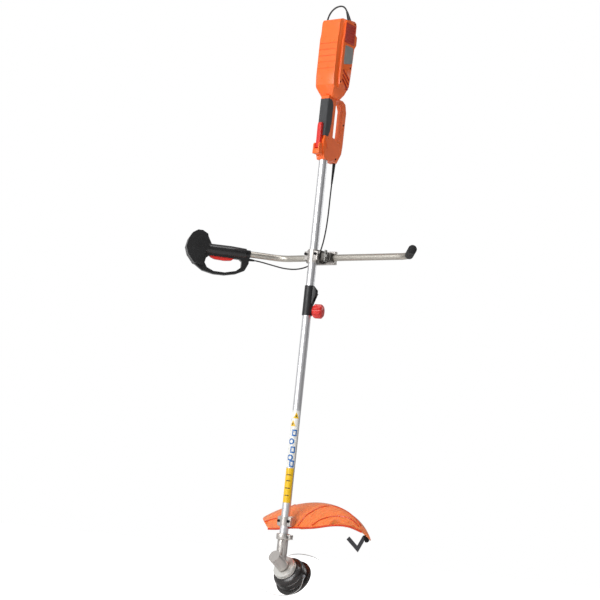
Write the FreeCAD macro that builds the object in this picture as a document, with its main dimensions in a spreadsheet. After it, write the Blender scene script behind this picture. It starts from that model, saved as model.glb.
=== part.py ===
import FreeCAD, Part
import math
import os
import re

import Sketcher
from FreeCAD import Placement, Rotation, Vector

# A two-piece electric string trimmer. +Z runs up the drive tube from the cutting head to the
# motor, +X runs across to the right-hand side of the handlebar, and +Y is the underside, where
# the guard and the rear loop are. The origin is on the tube's axis, at the handlebar clamp.
# Sizes are in millimetres and degrees.

SIZES = {
    # Drive tube and shaft
    "tube_od": 26.0,
    "tube_wall": 1.5,
    "tube_top_z": 355.0,
    "tube_joint_z": -107.0,
    "tube_joint_gap": 1.5,
    "tube_foot_z": -885.0,
    "shaft_radius": 4.0,
    "shaft_top_z": 508.0,
    "shaft_foot_z": -914.0,
    "bushing_length": 20.0,
    "hub_radius": 7.5,
    "hub_length": 38.0,
    "hub_foot_z": -150.0,
    "square_side": 5.6,
    "square_length": 28.0,
    "running_gap": 0.05,
    "sliding_gap": 0.08,
    "free_gap": 0.4,
    # Coupler between the two tubes
    "sleeve_radius": 15.5,
    "sleeve_top_z": -92.0,
    "sleeve_foot_z": -184.0,
    "knob_z": -169.0,
    "knob_start": 19.0,
    "knob_length": 31.0,
    "knob_radius": 22.0,
    "knob_flute_radius": 5.0,
    "stud_radius": 4.0,
    "latch_z": -117.0,
    "latch_pin_radius": 3.0,
    "latch_tip": 30.0,
    # Handlebar clamp
    "clamp_half_height": 20.0,
    "clamp_half_width": 25.0,
    "clamp_ring": 4.0,
    "bar_radius": 10.0,
    "bar_wall": 1.5,
    "bar_behind": 28.0,
    "bar_right": 338.0,
    "bar_left": 143.0,
    "bar_bend": 60.0,
    "bar_reach_x": 0.64,
    "bar_reach_y": 0.768,
    "right_arm": 128.0,
    "left_arm": 152.0,
    "rubber_length": 104.0,
    "rubber_radius": 12.8,
    "wing_x": 52.0,
    "wing_screw_radius": 3.0,
    # Switch grip on the left arm
    "grip_start": 104.0,
    "grip_length": 204.0,
    "grip_radius": 17.0,
    "lobe_half_width": 19.0,
    "bow_half_width": 9.0,
    "bow_depth": 77.0,
    "trigger_half_width": 5.0,
    # Rear housing
    "housing_half_width": 42.0,
    "housing_top_z": 752.0,
    "housing_foot_z": 500.0,
    "housing_front": 36.0,
    "housing_back": 43.0,
    "housing_bevel_width": 7.0,
    "housing_bevel_depth": 22.0,
    "motor_radius": 31.0,
    "motor_foot_z": 512.0,
    "fan_room_z": 534.0,
    "motor_top_z": 706.0,
    "rear_grip_half_width": 15.0,
    "rear_grip_front": 24.0,
    "rear_grip_back": 15.0,
    "grip_skin": 2.5,
    "loop_half_width": 11.3,
    "loop_outer": 75.0,
    "loop_inner": 59.0,
    "handle_foot_z": 303.0,
    "gap_low_z": 385.0,
    "gap_high_z": 490.0,
    "lever_half_width": 7.0,
    "lever_pivot_z": 338.0,
    "lever_pivot_depth": -34.0,
    "lever_length": 76.0,
    # Cords
    "mains_radius": 2.6,
    "switch_cable_radius": 2.2,
    "line_radius": 1.0,
    # Cutting head, on an axis tilted from the tube
    "head_tilt": 60.0,
    "head_cross_z": -937.0,
    "case_collar_z": -850.0,
    "case_neck_radius": 16.0,
    "case_wall": 3.0,
    "case_radius": 19.0,
    "case_top": -40.0,
    "case_foot": 14.0,
    "bearing_height": 6.5,
    "pinion_teeth": 12.0,
    "gear_teeth": 15.0,
    "gear_slant_inner": 14.0,
    "gear_slant_outer": 26.0,
    "cup_radius": 50.0,
    "cup_top": 34.0,
    "cup_foot": 84.0,
    "cup_wall": 2.5,
    "base_radius": 59.0,
    "base_height": 7.0,
    "knob_face": 96.0,
    "bump_travel": 5.0,
    "spool_flange_radius": 42.0,
    "spool_core_radius": 22.0,
    "eyelet_along": 62.0,
    # Guard
    "guard_clamp_z": -811.0,
    "guard_clamp_half_width": 25.0,
    "guard_clamp_half_height": 15.5,
    "guard_clamp_back": 22.0,
    "guard_wall": 3.0,
    "guard_rim": 285.0,
    "guard_inner": 156.0,
    "guard_centre_x": 38.0,
    "guard_centre_y": 57.0,
    "skirt_depth": 28.0,
}

DOC = FreeCAD.newDocument("string_trimmer")
SHEET = DOC.addObject("Spreadsheet::Sheet", "Sizes")
PIECES = []


def fill_sheet():
    """Put each driving size in a cell of its own, with its name beside it."""
    for row, (name, value) in enumerate(SIZES.items(), start=1):
        SHEET.set("A%d" % row, name)
        SHEET.set("B%d" % row, str(value))
        SHEET.setAlias("B%d" % row, name)
    DOC.recompute()


def bound(text):
    """Turn sheet names, which all hold an underscore, into references to the sheet."""
    return re.sub(r"[a-z]+(?:_[a-z0-9]+)+", r"Sizes.\g<0>", str(text))


def size(text):
    """Work a size out from the sheet as a plain number."""
    return float(SHEET.evalExpression(bound(text)))


def keep(piece, label):
    """Name a finished sub-part and list it for writing."""
    piece.Label = label
    PIECES.append(piece)
    return piece


def place(piece, x="0", y="0", z="0", turn=Rotation()):
    """Put a piece in the trimmer's frame, with its position tied to the sheet."""
    piece.Placement = Placement(Vector(size(x), size(y), size(z)), turn)
    for axis, text in (("x", x), ("y", y), ("z", z)):
        piece.setExpression("Placement.Base." + axis, bound(text))
    return piece


# --------------------------------------------------------------------- sketch-based bodies


def new_body(label):
    return keep(DOC.addObject("PartDesign::Body", label), label)


def sketch(body, role, *loops):
    """Sketch closed loops on an origin plane. A loop is a list of corners or (x, y, radius)."""
    profile = body.newObject("Sketcher::SketchObject", body.Label + "_outline")
    plane = [f for f in body.Origin.OriginFeatures if f.Role == role][0]
    profile.AttachmentSupport = [(plane, "")]
    profile.MapMode = "FlatFace"
    for loop in loops:
        if isinstance(loop, tuple):
            add_circle(profile, *loop)
        else:
            add_corners(profile, loop)
    return profile


def tie(profile, kind, value, *points):
    """Add one dimension and bind it to the sheet."""
    index = profile.addConstraint(Sketcher.Constraint(kind, *points, size(value)))
    profile.setExpression("Constraints[%d]" % index, bound(value))


def add_circle(profile, x, y, radius):
    centre = Vector(size(x), size(y), 0)
    circle = Part.Circle(centre, Vector(0, 0, 1), size(radius))
    index = profile.addGeometry(circle, False)
    tie(profile, "DistanceX", x, -1, 1, index, 3)
    tie(profile, "DistanceY", y, -1, 1, index, 3)
    tie(profile, "Radius", radius, index)


def add_corners(profile, corners):
    points = [Vector(size(x), size(y), 0) for x, y in corners]
    first = profile.GeometryCount
    count = len(points)
    for number in range(count):
        line = Part.LineSegment(points[number], points[(number + 1) % count])
        profile.addGeometry(line, False)
    for number in range(count):
        after = first + (number + 1) % count
        profile.addConstraint(Sketcher.Constraint("Coincident", first + number, 2, after, 1))
    for number, (x, y) in enumerate(corners):
        tie(profile, "DistanceX", x, -1, 1, first + number, 1)
        tie(profile, "DistanceY", y, -1, 1, first + number, 1)


def extrude(body, kind, profile, length, both=True, back=False):
    """Pad or pocket a sketch, to both sides of its plane or to one."""
    feature = body.newObject("PartDesign::" + kind, body.Label + "_" + kind.lower())
    feature.Profile = profile
    feature.setExpression("Length", bound(length))
    if both:
        feature.SideType = "Symmetric"
    feature.Reversed = back
    return feature


def spin(body, kind, profile, angle=360.0, axis="V_Axis"):
    """Turn a sketch about one of its own axes, to add or to cut."""
    feature = body.newObject("PartDesign::" + kind, body.Label + "_" + kind.lower())
    feature.Profile = profile
    feature.ReferenceAxis = (profile, [axis])
    feature.Angle = angle
    return feature


def turned(label, corners):
    """A piece turned about its own Z from corners given as (radius, height)."""
    body = new_body(label)
    spin(body, "Revolution", sketch(body, "XZ_Plane", corners))
    return body


def ring_corners(inner, outer, low, high):
    return [(inner, low), (outer, low), (outer, high), (inner, high)]


# --------------------------------------------------------------------- primitives and booleans


def block(x0, x1, y0, y1, z0, z1):
    """A box between two corners, each tied to the sheet."""
    box = DOC.addObject("Part::Box", "block")
    box.setExpression("Length", bound("(%s)-(%s)" % (x1, x0)))
    box.setExpression("Width", bound("(%s)-(%s)" % (y1, y0)))
    box.setExpression("Height", bound("(%s)-(%s)" % (z1, z0)))
    return place(box, x0, y0, z0)


def rod(radius, low, high, x="0", y="0", z="0", turn=Rotation()):
    """A cylinder from low to high along its own axis, which passes through (x, y, z)."""
    cylinder = DOC.addObject("Part::Cylinder", "rod")
    cylinder.setExpression("Radius", bound(radius))
    cylinder.setExpression("Height", bound("(%s)-(%s)" % (high, low)))
    along = turn.multVec(Vector(0, 0, 1))
    corner = ["(%s)+(%s)*(%.9f)" % (at, low, part) for at, part in zip((x, y, z), along)]
    return place(cylinder, *corner, turn)


def fuse(shapes):
    if len(shapes) == 1:
        return shapes[0]
    joined = DOC.addObject("Part::MultiFuse", "fuse")
    joined.Shapes = shapes
    return joined


def cut(base, tool):
    left = DOC.addObject("Part::Cut", "cut")
    left.Base = base
    left.Tool = tool
    return left


def group(label, shapes):
    """Several like pieces kept as separate solids under one name."""
    together = DOC.addObject("Part::Compound", label)
    together.Links = shapes
    return keep(together, label)


def ring(inner, outer, low, high, x="0", y="0", z="0", turn=Rotation()):
    outside = rod(outer, low, high, x, y, z, turn)
    return cut(outside, rod(inner, "(%s)-1" % low, "(%s)+1" % high, x, y, z, turn))


def cap_screw(x, y, z, turn, shank=2.0, length=16.0, head=3.6, head_height=4.0):
    """A socket-head screw: its head starts at the given point and its shank runs back from it."""
    body = rod(head, 0, head_height, x, y, z, turn)
    socket = DOC.addObject("Part::Prism", "socket")
    socket.Polygon = 6
    socket.Circumradius = head * 0.55
    socket.Height = head_height
    along = turn.multVec(Vector(0, 0, 1)) * (head_height * 0.5)
    place(socket, *["(%s)+(%.6f)" % (at, part) for at, part in zip((x, y, z), along)], turn)
    return fuse([cut(body, socket), rod(shank, -length, 0, x, y, z, turn)])


def screw_hole(x, y, z, turn, shank=2.0, length=16.0, head=3.6, head_height=4.0):
    """The room that the same screw takes, for cutting the pieces that it joins."""
    return fuse([rod(head, 0, head_height, x, y, z, turn), rod(shank, -length, 0, x, y, z, turn)])


def solid(label, shape):
    """A sub-part whose shape is made from the sheet's sizes with Part's own functions."""
    piece = DOC.addObject("Part::Feature", label)
    piece.Shape = shape
    return keep(piece, label)


# --------------------------------------------------------------------- bent rods and cords


def round_route(points, bends=None):
    """Edges of straight runs joined by tangent arcs, and the arcs' radii."""
    edges = []
    radii = []
    start = points[0]
    for number in range(1, len(points) - 1):
        before, corner, after = points[number - 1], points[number], points[number + 1]
        inward = (before - corner).normalize()
        outward = (after - corner).normalize()
        half_turn = (math.pi - inward.getAngle(outward)) / 2
        shorter = min((before - corner).Length, (after - corner).Length)
        radius = bends if bends else 0.45 * shorter / math.tan(half_turn)
        reach = radius * math.tan(half_turn)
        arc_start = corner + inward * reach
        arc_end = corner + outward * reach
        middle = (inward + outward).normalize()
        arc_middle = corner + middle * (radius / math.cos(half_turn) - radius)
        edges.append(Part.LineSegment(start, arc_start).toShape())
        edges.append(Part.Arc(arc_start, arc_middle, arc_end).toShape())
        radii.append(radius)
        start = arc_end
    edges.append(Part.LineSegment(start, points[-1]).toShape())
    return edges, radii


def sweep(points, radius, bends=None):
    """A round solid along a route, with its centre line's length and its bend radii."""
    edges, radii = round_route(points, bends)
    route = Part.Wire(edges)
    start = (points[1] - points[0]).normalize()
    section = Part.Wire([Part.Circle(points[0], start, radius).toShape()])
    return route.makePipeShell([section], True, False), route.Length, radii


def cord(label, route, radius):
    """A cord along points chosen by hand. Its volume is compared with section times length."""
    points = [Vector(*point) for point in route]
    shape, length, radii = sweep(points, size(radius))
    ideal = math.pi * size(radius) ** 2 * length
    print("%s length %.0f radii %s volume ratio %.4f" % (
        label, length, [round(r) for r in radii], shape.Volume / ideal))
    return solid(label, shape)


# --------------------------------------------------------------------- directions


def head_turn():
    """Local Z runs along the head's axis, away from the motor and down towards the ground."""
    return Rotation(Vector(1, 0, 0), size("head_tilt") - 180)


def head_point(x, y, along):
    """A point given in the head's frame, in the trimmer's frame."""
    return Vector(0, 0, size("head_cross_z")) + head_turn().multVec(Vector(x, y, along))


def on_head(piece):
    return place(piece, "0", "0", "head_cross_z", head_turn())


ACROSS = Rotation(Vector(0, 1, 0), 90)
TO_BACK = Rotation(Vector(1, 0, 0), -90)
TO_FRONT = Rotation(Vector(1, 0, 0), 90)
KNOB_AZIMUTH = 20.0
KNOB_TURN = Rotation(Vector(0, 0, 1), KNOB_AZIMUTH).multiply(ACROSS)


# --------------------------------------------------------------------- tube, shafts and coupler


def upper_tube():
    turned("upper_tube", ring_corners("tube_od/2-tube_wall", "tube_od/2", "tube_joint_z",
                                      "tube_top_z"))


def lower_tube():
    """The lower tube, with an open keyway at its top for the coupler's spring pin."""
    body = new_body("lower_tube")
    top = "tube_joint_z-tube_joint_gap"
    spin(body, "Revolution", sketch(body, "XZ_Plane", ring_corners(
        "tube_od/2-tube_wall", "tube_od/2", "tube_foot_z", top)))
    DOC.recompute()
    before = body.Shape.Volume
    half = "latch_pin_radius+free_gap"
    low = "latch_z-latch_pin_radius-free_gap"
    keyway = sketch(body, "YZ_Plane", [("-(%s)" % half, low), (half, low),
                                       (half, "tube_joint_z+2"), ("-(%s)" % half, "tube_joint_z+2")])
    extrude(body, "Pocket", keyway, "tube_od", both=False, back=True)
    DOC.recompute()
    print("keyway removes %.0f" % (before - body.Shape.Volume))
    body.Placement = Placement(Vector(0, 0, 0), Rotation(Vector(0, 0, 1), KNOB_AZIMUTH))


def bushings(label, heights):
    """Plain bushings pressed in the tube, which steady the shaft."""
    rings = [ring("shaft_radius+running_gap", "tube_od/2-tube_wall", "0", "bushing_length",
                  z=str(height)) for height in heights]
    group(label, rings)


def upper_shaft():
    """The upper shaft has the motor's coupling hub at its top and a square socket at its foot."""
    body = turned("upper_drive_shaft", [
        ("0", "hub_foot_z"), ("hub_radius", "hub_foot_z"),
        ("hub_radius", "hub_foot_z+hub_length"), ("shaft_radius", "hub_foot_z+hub_length"),
        ("shaft_radius", "shaft_top_z-40"), ("hub_radius-0.5", "shaft_top_z-40"),
        ("hub_radius-0.5", "shaft_top_z-6"), ("shaft_radius", "shaft_top_z-6"),
        ("shaft_radius", "shaft_top_z"), ("0", "shaft_top_z")])
    half = "square_side/2+running_gap"
    socket = sketch(body, "XZ_Plane", [
        ("-(%s)" % half, "hub_foot_z-1"), (half, "hub_foot_z-1"),
        (half, "hub_foot_z+square_length+2"), ("-(%s)" % half, "hub_foot_z+square_length+2")])
    extrude(body, "Pocket", socket, "square_side+2*running_gap")


def lower_shaft():
    """The lower shaft, with its square upper end and the pinion on its foot."""
    foot = "hub_foot_z-2"
    shaft = rod("shaft_radius", "shaft_foot_z", foot)
    half = "square_side/2"
    square = block("-" + half, half, "-" + half, half, foot, "hub_foot_z+square_length")
    pinion = DOC.addObject("Part::Feature", "pinion")
    pinion.Shape = bevel(size("pinion_teeth"), size("gear_teeth"), -90.0)
    pinion.Placement = Placement(Vector(0, 0, size("head_cross_z")), Rotation())
    keep(fuse([shaft, square, pinion]), "lower_drive_shaft")


def coupler_sleeve():
    """The clamp sleeve, with a boss for the knob's stud and a pocketed block for the latch."""
    outer = rod("sleeve_radius", "sleeve_foot_z", "sleeve_top_z")
    knob_boss = rod("9", "0", "knob_start-0.5", z="knob_z", turn=KNOB_TURN)
    latch_boss = rod("8", "0", "21", z="latch_z", turn=KNOB_TURN)
    bore = rod("tube_od/2+sliding_gap", "sleeve_foot_z-1", "sleeve_top_z+1")
    stud_hole = rod("stud_radius+running_gap", "10", "knob_start+2", z="knob_z", turn=KNOB_TURN)
    pin_hole = rod("latch_pin_radius+running_gap", "10", "24", z="latch_z", turn=KNOB_TURN)
    spring_hole = rod("6", "17", "24", z="latch_z", turn=KNOB_TURN)
    body = fuse([outer, knob_boss, latch_boss])
    keep(cut(body, fuse([bore, stud_hole, pin_hole, spring_hole])), "coupler_sleeve")


def coupler_knob():
    """A fluted knob on its threaded stud, which presses on the lower tube."""
    body = new_body("coupler_knob")
    start, end = "knob_start", "knob_start+knob_length"
    spin(body, "Revolution", sketch(body, "XZ_Plane", [
        ("0", "tube_od/2+free_gap"), ("stud_radius", "tube_od/2+free_gap"),
        ("stud_radius", start), ("knob_radius-6", start), ("knob_radius", start + "+6"),
        ("knob_radius", end + "-5"), ("knob_radius-5", end), ("3", end),
        ("3", end + "-6"), ("0", end + "-6")]))
    flute = sketch(body, "XY_Plane", ("knob_radius+knob_flute_radius/3", "0", "knob_flute_radius"))
    pocket = extrude(body, "Pocket", flute, "2*(knob_start+knob_length+5)")
    pattern = body.newObject("PartDesign::PolarPattern", "flutes")
    pattern.Originals = [pocket]
    pattern.Axis = (flute, ["N_Axis"])
    pattern.Angle = 360
    pattern.Occurrences = 8
    body.Tip = pattern
    place(body, z="knob_z", turn=KNOB_TURN)


def latch():
    """A spring pin with a pointed pull, and the coil spring behind its collar."""
    button = turned("latch_button", [
        ("0", "hub_radius+2.5"), ("latch_pin_radius", "hub_radius+2.5"),
        ("latch_pin_radius", "21.6"), ("7.5", "21.6"), ("7", "24"), ("0", "latch_tip")])
    place(button, z="latch_z", turn=KNOB_TURN)
    spring = turned("latch_spring", ring_corners("latch_pin_radius+free_gap", "5.6", "17.0",
                                                 "21.5"))
    place(spring, z="latch_z", turn=KNOB_TURN)


# --------------------------------------------------------------------- handlebar clamp and bar


def front_cap_screws(make):
    """Two screws that draw the front cap to the saddle."""
    return [make(x, "-12", "6", TO_FRONT, shank=2.5, length=24.0, head=4.2, head_height=5)
            for x in ("-18.6", "18.6")]


def rear_cap_screws(make):
    """Two screws that draw the rear cap to the saddle."""
    return [make("0", "bar_behind+bar_radius+4", z, TO_BACK, length=22.0) for z in ("-15", "15")]


def clamp_bracket():
    """The saddle between tube and bar, with an arm at one side for the wing screw."""
    high, wide = "clamp_half_height", "clamp_half_width"
    saddle = block("-" + wide, wide, "0.5", "bar_behind-0.5", "-" + high, high)
    arm = block(wide, "wing_x+10", "6", "bar_behind-0.5", "-12", "12")
    tube = rod("tube_od/2", "-%s-1" % high, high + "+1")
    bar = rod("bar_radius+running_gap", "-60", "80", y="bar_behind", turn=ACROSS)
    thread = rod("wing_screw_radius+running_gap", "-5", "30", x="wing_x", turn=TO_BACK)
    holes = front_cap_screws(screw_hole) + rear_cap_screws(screw_hole)
    keep(cut(fuse([saddle, arm]), fuse([tube, bar, thread] + holes)), "bar_bracket")


def clamp_caps():
    """The front half-ring over the tube and the rear cap over the bar."""
    high, wide = "clamp_half_height", "clamp_half_width"
    half_ring = rod("tube_od/2+clamp_ring", "-" + high, high)
    ears = block("-" + wide, wide, "-12", "-0.5", "-12", "14")
    behind = block("-60", "60", "-0.5", "60", "-60", "60")
    tube = rod("tube_od/2", "-%s-1" % high, high + "+1")
    holes = front_cap_screws(screw_hole)
    keep(cut(fuse([half_ring, ears]), fuse([behind, tube] + holes)), "bracket_front_cap")
    rear = block("-" + wide, "wing_x+10", "bar_behind+0.5", "bar_behind+bar_radius+4",
                 "-" + high, high)
    bar = rod("bar_radius+running_gap", "-60", "80", y="bar_behind", turn=ACROSS)
    keep(cut(rear, fuse([bar] + rear_cap_screws(screw_hole))), "bracket_rear_cap")


def clamp_screws():
    group("bracket_screws", front_cap_screws(cap_screw) + rear_cap_screws(cap_screw))


def wing_screw():
    """The wing screw, whose tip holds the bar against the rear cap."""
    tip = "bar_behind-bar_radius-0.3"
    shank = rod("wing_screw_radius", "0-2", tip, x="wing_x", turn=TO_BACK)
    hub = rod("5.5", "-8", "4", x="wing_x", turn=TO_BACK)
    wings = block("wing_x-2", "wing_x+2", "-10", "-1", "-18", "18")
    keep(fuse([shank, hub, wings]), "wing_screw")


def bar_points():
    """Corners of the bar: the left arm's end, both bends and the right arm's end."""
    reach_x, reach_y = size("bar_reach_x"), size("bar_reach_y")
    behind = size("bar_behind")
    left = Vector(-size("bar_left"), behind, 0)
    right = Vector(size("bar_right"), behind, 0)
    left_end = left + Vector(-reach_x, -reach_y, 0) * size("left_arm")
    right_end = right + Vector(reach_x, -reach_y, 0) * size("right_arm")
    return [left_end, left, right, right_end]


def handlebar():
    """A bent tube, plugged at neither end."""
    points = bar_points()
    outer, length, radii = sweep(points, size("bar_radius"), size("bar_bend"))
    inner, length, radii = sweep(points, size("bar_radius-bar_wall"), size("bar_bend"))
    solid("handlebar", outer.cut(inner))
    print("handlebar length %.0f" % length)


def right_arm_turn():
    return Rotation(Vector(0, 0, 1), Vector(size("bar_reach_x"), -size("bar_reach_y"), 0))


def right_grip():
    """A rubber sleeve with a closed, domed end."""
    body = new_body("right_grip")
    start = "right_arm-rubber_length"
    spin(body, "Revolution", sketch(body, "XZ_Plane", [
        ("bar_radius", start), ("rubber_radius", start), ("rubber_radius", "right_arm+1"),
        ("rubber_radius-3", "right_arm+4"), ("0", "right_arm+4"), ("0", "right_arm"),
        ("bar_radius", "right_arm")]))
    place(body, "bar_right", "bar_behind", "0", right_arm_turn())


# --------------------------------------------------------------------- switch grip


def left_arm_turn():
    """Local X runs out along the left arm and local Z stays up."""
    return Rotation(Vector(-size("bar_reach_x"), -size("bar_reach_y"), 0), Vector(0, 0, 0),
                    Vector(0, 0, 1), "XZY")


def on_left_arm(piece):
    """Local X is measured from the bend, along the arm."""
    return place(piece, "-bar_left", "bar_behind", "0", left_arm_turn())


def grip_at(offset):
    return "grip_start+(%s)" % offset


def from_end(offset):
    """A place measured back from the grip's outer end."""
    return grip_at("grip_length-%s" % offset)


def grip_shell(label, back):
    """Half of the grip: a round handle, a bow under the fingers and a lobe at the outer end."""
    body = new_body(label)
    depth = "bow_depth"
    lobe_end = [(from_end(29), "-51"), (from_end(8), "-26"), (from_end(0), "-3"),
                (from_end(5), "22"), (from_end(16), "43"), (from_end(31), "53"),
                (from_end(46), "53"), (from_end(63), "44")]
    bow = [(grip_at(3), "-6"), (grip_at(3), "-31"), (grip_at(13), "-54"), (grip_at(40), "-68"),
           (grip_at(74), "-%s+1" % depth), (grip_at(109), "-" + depth),
           (from_end(59), "-%s+7" % depth)]
    bow += lobe_end + [(from_end(80), "14"), (from_end(94), "-6")]
    opening = [(grip_at(25), "-27"), (grip_at(25), "-45"), (grip_at(41), "-59"),
               (grip_at(75), "-68"), (from_end(94), "-68"), (from_end(72), "-59"),
               (from_end(63), "-45"), (from_end(66), "-30"), (from_end(76), "-21"),
               (grip_at(33), "-21")]
    extrude(body, "Pad", sketch(body, "XZ_Plane", bow, opening), "bow_half_width", False, back)
    lobe = [(from_end(60), "-58")] + lobe_end + [(from_end(72), "14"), (from_end(56), "-30")]
    extrude(body, "Pad", sketch(body, "XZ_Plane", lobe), "lobe_half_width", False, back)
    handle = [(grip_at(0), "0"), (grip_at(0), "12.5"), (grip_at(14), "12.5"),
              (grip_at(14), "grip_radius-1"), (grip_at(60), "grip_radius+1"),
              (from_end(80), "grip_radius"), (from_end(60), "grip_radius+1"),
              (from_end(44), "grip_radius"), (from_end(44), "0")]
    half = spin(body, "Revolution", sketch(body, "XZ_Plane", handle), 180.0, "H_Axis")
    half.Reversed = back
    return body


def grip_cavities(body):
    """Room for the bar, the switch and the trigger's swing."""
    bar = sketch(body, "XZ_Plane", [(grip_at(-2), "0"), (grip_at(-2), "bar_radius"),
                                    ("left_arm", "bar_radius"), ("left_arm", "0")])
    spin(body, "Groove", bar, 360.0, "H_Axis")
    slot = sketch(body, "XZ_Plane", [(grip_at(49), "-40"), (grip_at(131), "-40"),
                                     (grip_at(131), "10"), (grip_at(49), "10")])
    extrude(body, "Pocket", slot, "2*(trigger_half_width+free_gap)")


def grip_shells():
    for label, back in (("switch_grip_front_shell", False), ("switch_grip_back_shell", True)):
        body = grip_shell(label, back)
        grip_cavities(body)
        on_left_arm(body)


def trigger():
    """The trigger swings about its pin at the outer end."""
    body = new_body("throttle_trigger")
    outline = [(grip_at(51), "-22"), (grip_at(58), "-28"), (grip_at(80), "-31"),
               (grip_at(112), "-30"), (grip_at(127), "-24"), (grip_at(128), "-10"),
               (grip_at(118), "-8"), (grip_at(51), "-13")]
    profile = sketch(body, "XZ_Plane", outline, (grip_at(115), "-13", "2+running_gap"))
    extrude(body, "Pad", profile, "2*trigger_half_width")
    on_left_arm(body)
    pin = new_body("trigger_pin")
    extrude(pin, "Pad", sketch(pin, "XZ_Plane", (grip_at(115), "-13", "2")),
            "2*(trigger_half_width+free_gap)")
    on_left_arm(pin)


def grip_switch():
    body = new_body("grip_switch")
    box = [(grip_at(56), "-3"), (grip_at(96), "-3"), (grip_at(96), "10"), (grip_at(56), "10")]
    extrude(body, "Pad", sketch(body, "XZ_Plane", box), "2*(trigger_half_width+free_gap)")
    on_left_arm(body)


def cable_boot():
    """The boot where the switch cable enters the grip, under the bar."""
    body = new_body("cable_boot")
    spin(body, "Revolution", sketch(body, "XZ_Plane", [
        (grip_at(-16), "0"), (grip_at(-16), "switch_cable_radius+0.6"),
        (grip_at(3), "4.5"), (grip_at(3), "0")]), 360.0, "H_Axis")
    on_left_arm(body)
    body.setExpression("Placement.Base.z", bound("-17.5"))


# --------------------------------------------------------------------- rear housing


def housing_outline(bevel):
    """Side view of the motor housing as (depth, height), with its front set back by the bevel."""
    front, back, top, foot = "-housing_front", "housing_back", "housing_top_z", "housing_foot_z"
    set_back = "+" + bevel
    return [("-16", foot), (front + "+12" + set_back, foot + "+16"),
            (front + "+3" + set_back, foot + "+36"), (front + set_back, foot + "+64"),
            (front + set_back, top + "-68"), (front + "+3" + set_back, top + "-52"),
            (front + "+3.5" + set_back, top + "-16"), (front + "+8" + set_back, top + "-6"),
            (front + "+15" + set_back, top + "-3"), (back + "-12", top), (back + "-3", top + "-4"),
            (back, top + "-12"), (back, top + "-40"), (back + "+8", top + "-46"),
            (back + "+8", top + "-72"), (back, top + "-86"), (back + "-5", foot + "+70"),
            (back + "-10", foot + "+16"), ("24", foot)]


def taper_foot(body, left):
    """Slopes the lower end of the side wall in towards the rear grip."""
    sign = "-" if left else ""
    wedge = [("housing_half_width", "housing_foot_z+42"), ("60", "housing_foot_z+42"),
             ("60", "housing_foot_z-4"), ("18", "housing_foot_z-4")]
    corners = [(sign + x, z) for x, z in wedge]
    extrude(body, "Pocket", sketch(body, "XZ_Plane", corners), "200")


def shell_half(label, left):
    """One half of the housing, with the rear grip and the loop under it."""
    body = new_body(label)
    side = dict(both=False, back=left)
    middle = sketch(body, "YZ_Plane", housing_outline("0"))
    extrude(body, "Pad", middle, "housing_half_width-housing_bevel_width", **side)
    sides = sketch(body, "YZ_Plane", housing_outline("housing_bevel_depth"))
    extrude(body, "Pad", sides, "housing_half_width", **side)
    taper_foot(body, left)
    front, foot, high = "-rear_grip_front", "handle_foot_z", "housing_foot_z+4"
    column = [("-14", foot), (front + "-3", foot + "+30"), (front + "-3", foot + "+58"),
              (front, foot + "+66"), (front, high), ("rear_grip_back", high),
              ("rear_grip_back", foot)]
    extrude(body, "Pad", sketch(body, "YZ_Plane", column), "rear_grip_half_width", **side)
    loop = [("0", foot), ("52", foot), ("loop_outer-4", foot + "+34"),
            ("loop_outer-1", foot + "+60"), ("loop_outer", "gap_high_z-20"),
            ("loop_outer-8", "gap_high_z+6"), ("loop_inner-6", high), ("0", high)]
    gap = [("rear_grip_back", "gap_low_z-4"), ("rear_grip_back+22", "gap_low_z-10"),
           ("loop_inner-3", "gap_low_z-6"), ("loop_inner", "gap_low_z+6"),
           ("loop_inner", "gap_high_z-16"), ("loop_inner-8", "gap_high_z"),
           ("rear_grip_back", "gap_high_z")]
    extrude(body, "Pad", sketch(body, "YZ_Plane", loop, gap), "loop_half_width", **side)
    return body


def hollow_shell(body):
    """Bores for the tube, shaft, bearings and motor, and room for the wiring."""
    bore = [("0", "handle_foot_z-2"), ("tube_od/2", "handle_foot_z-2"),
            ("tube_od/2", "tube_top_z"), ("8", "tube_top_z"), ("8", "motor_foot_z-7"),
            ("11", "motor_foot_z-7"), ("11", "fan_room_z"), ("motor_radius", "fan_room_z"),
            ("motor_radius", "motor_top_z"), ("11", "motor_top_z"),
            ("11", "motor_top_z+7"), ("0", "motor_top_z+7")]
    spin(body, "Groove", sketch(body, "XZ_Plane", bore))
    back = "housing_back-3"
    wiring = [("20", "560"), (back + "-6", "560"), (back, "650"), (back, "700"), ("20", "700")]
    extrude(body, "Pocket", sketch(body, "YZ_Plane", wiring), "56")
    lever_room = [("-50", "lever_pivot_z-6"), ("-27", "lever_pivot_z-6"),
                  ("-17", "lever_pivot_z+20"), ("-17", "lever_pivot_z+84"),
                  ("-50", "lever_pivot_z+84")]
    half = "2*(lever_half_width+free_gap)"
    extrude(body, "Pocket", sketch(body, "YZ_Plane", lever_room), half)


def lever_cheek(body, left):
    """A cheek beside the lever's foot, which carries its pivot pin."""
    low = "lever_pivot_z-14"
    cheek = [("-40", low), ("-20", low + "-10"), ("-20", low + "+28"), ("-40", low + "+26")]
    extrude(body, "Pad", sketch(body, "YZ_Plane", cheek), "lever_half_width+5", False, left)


def rear_housing():
    for label, left in (("rear_housing_left", True), ("rear_housing_right", False)):
        body = shell_half(label + "_body", left)
        PIECES.remove(body)
        lever_cheek(body, left)
        hollow_shell(body)
        tools = [lever_switch_box()]
        if not left:
            tools += housing_screw_set(screw_hole)
        keep(cut(body, fuse(tools)), label)


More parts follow.
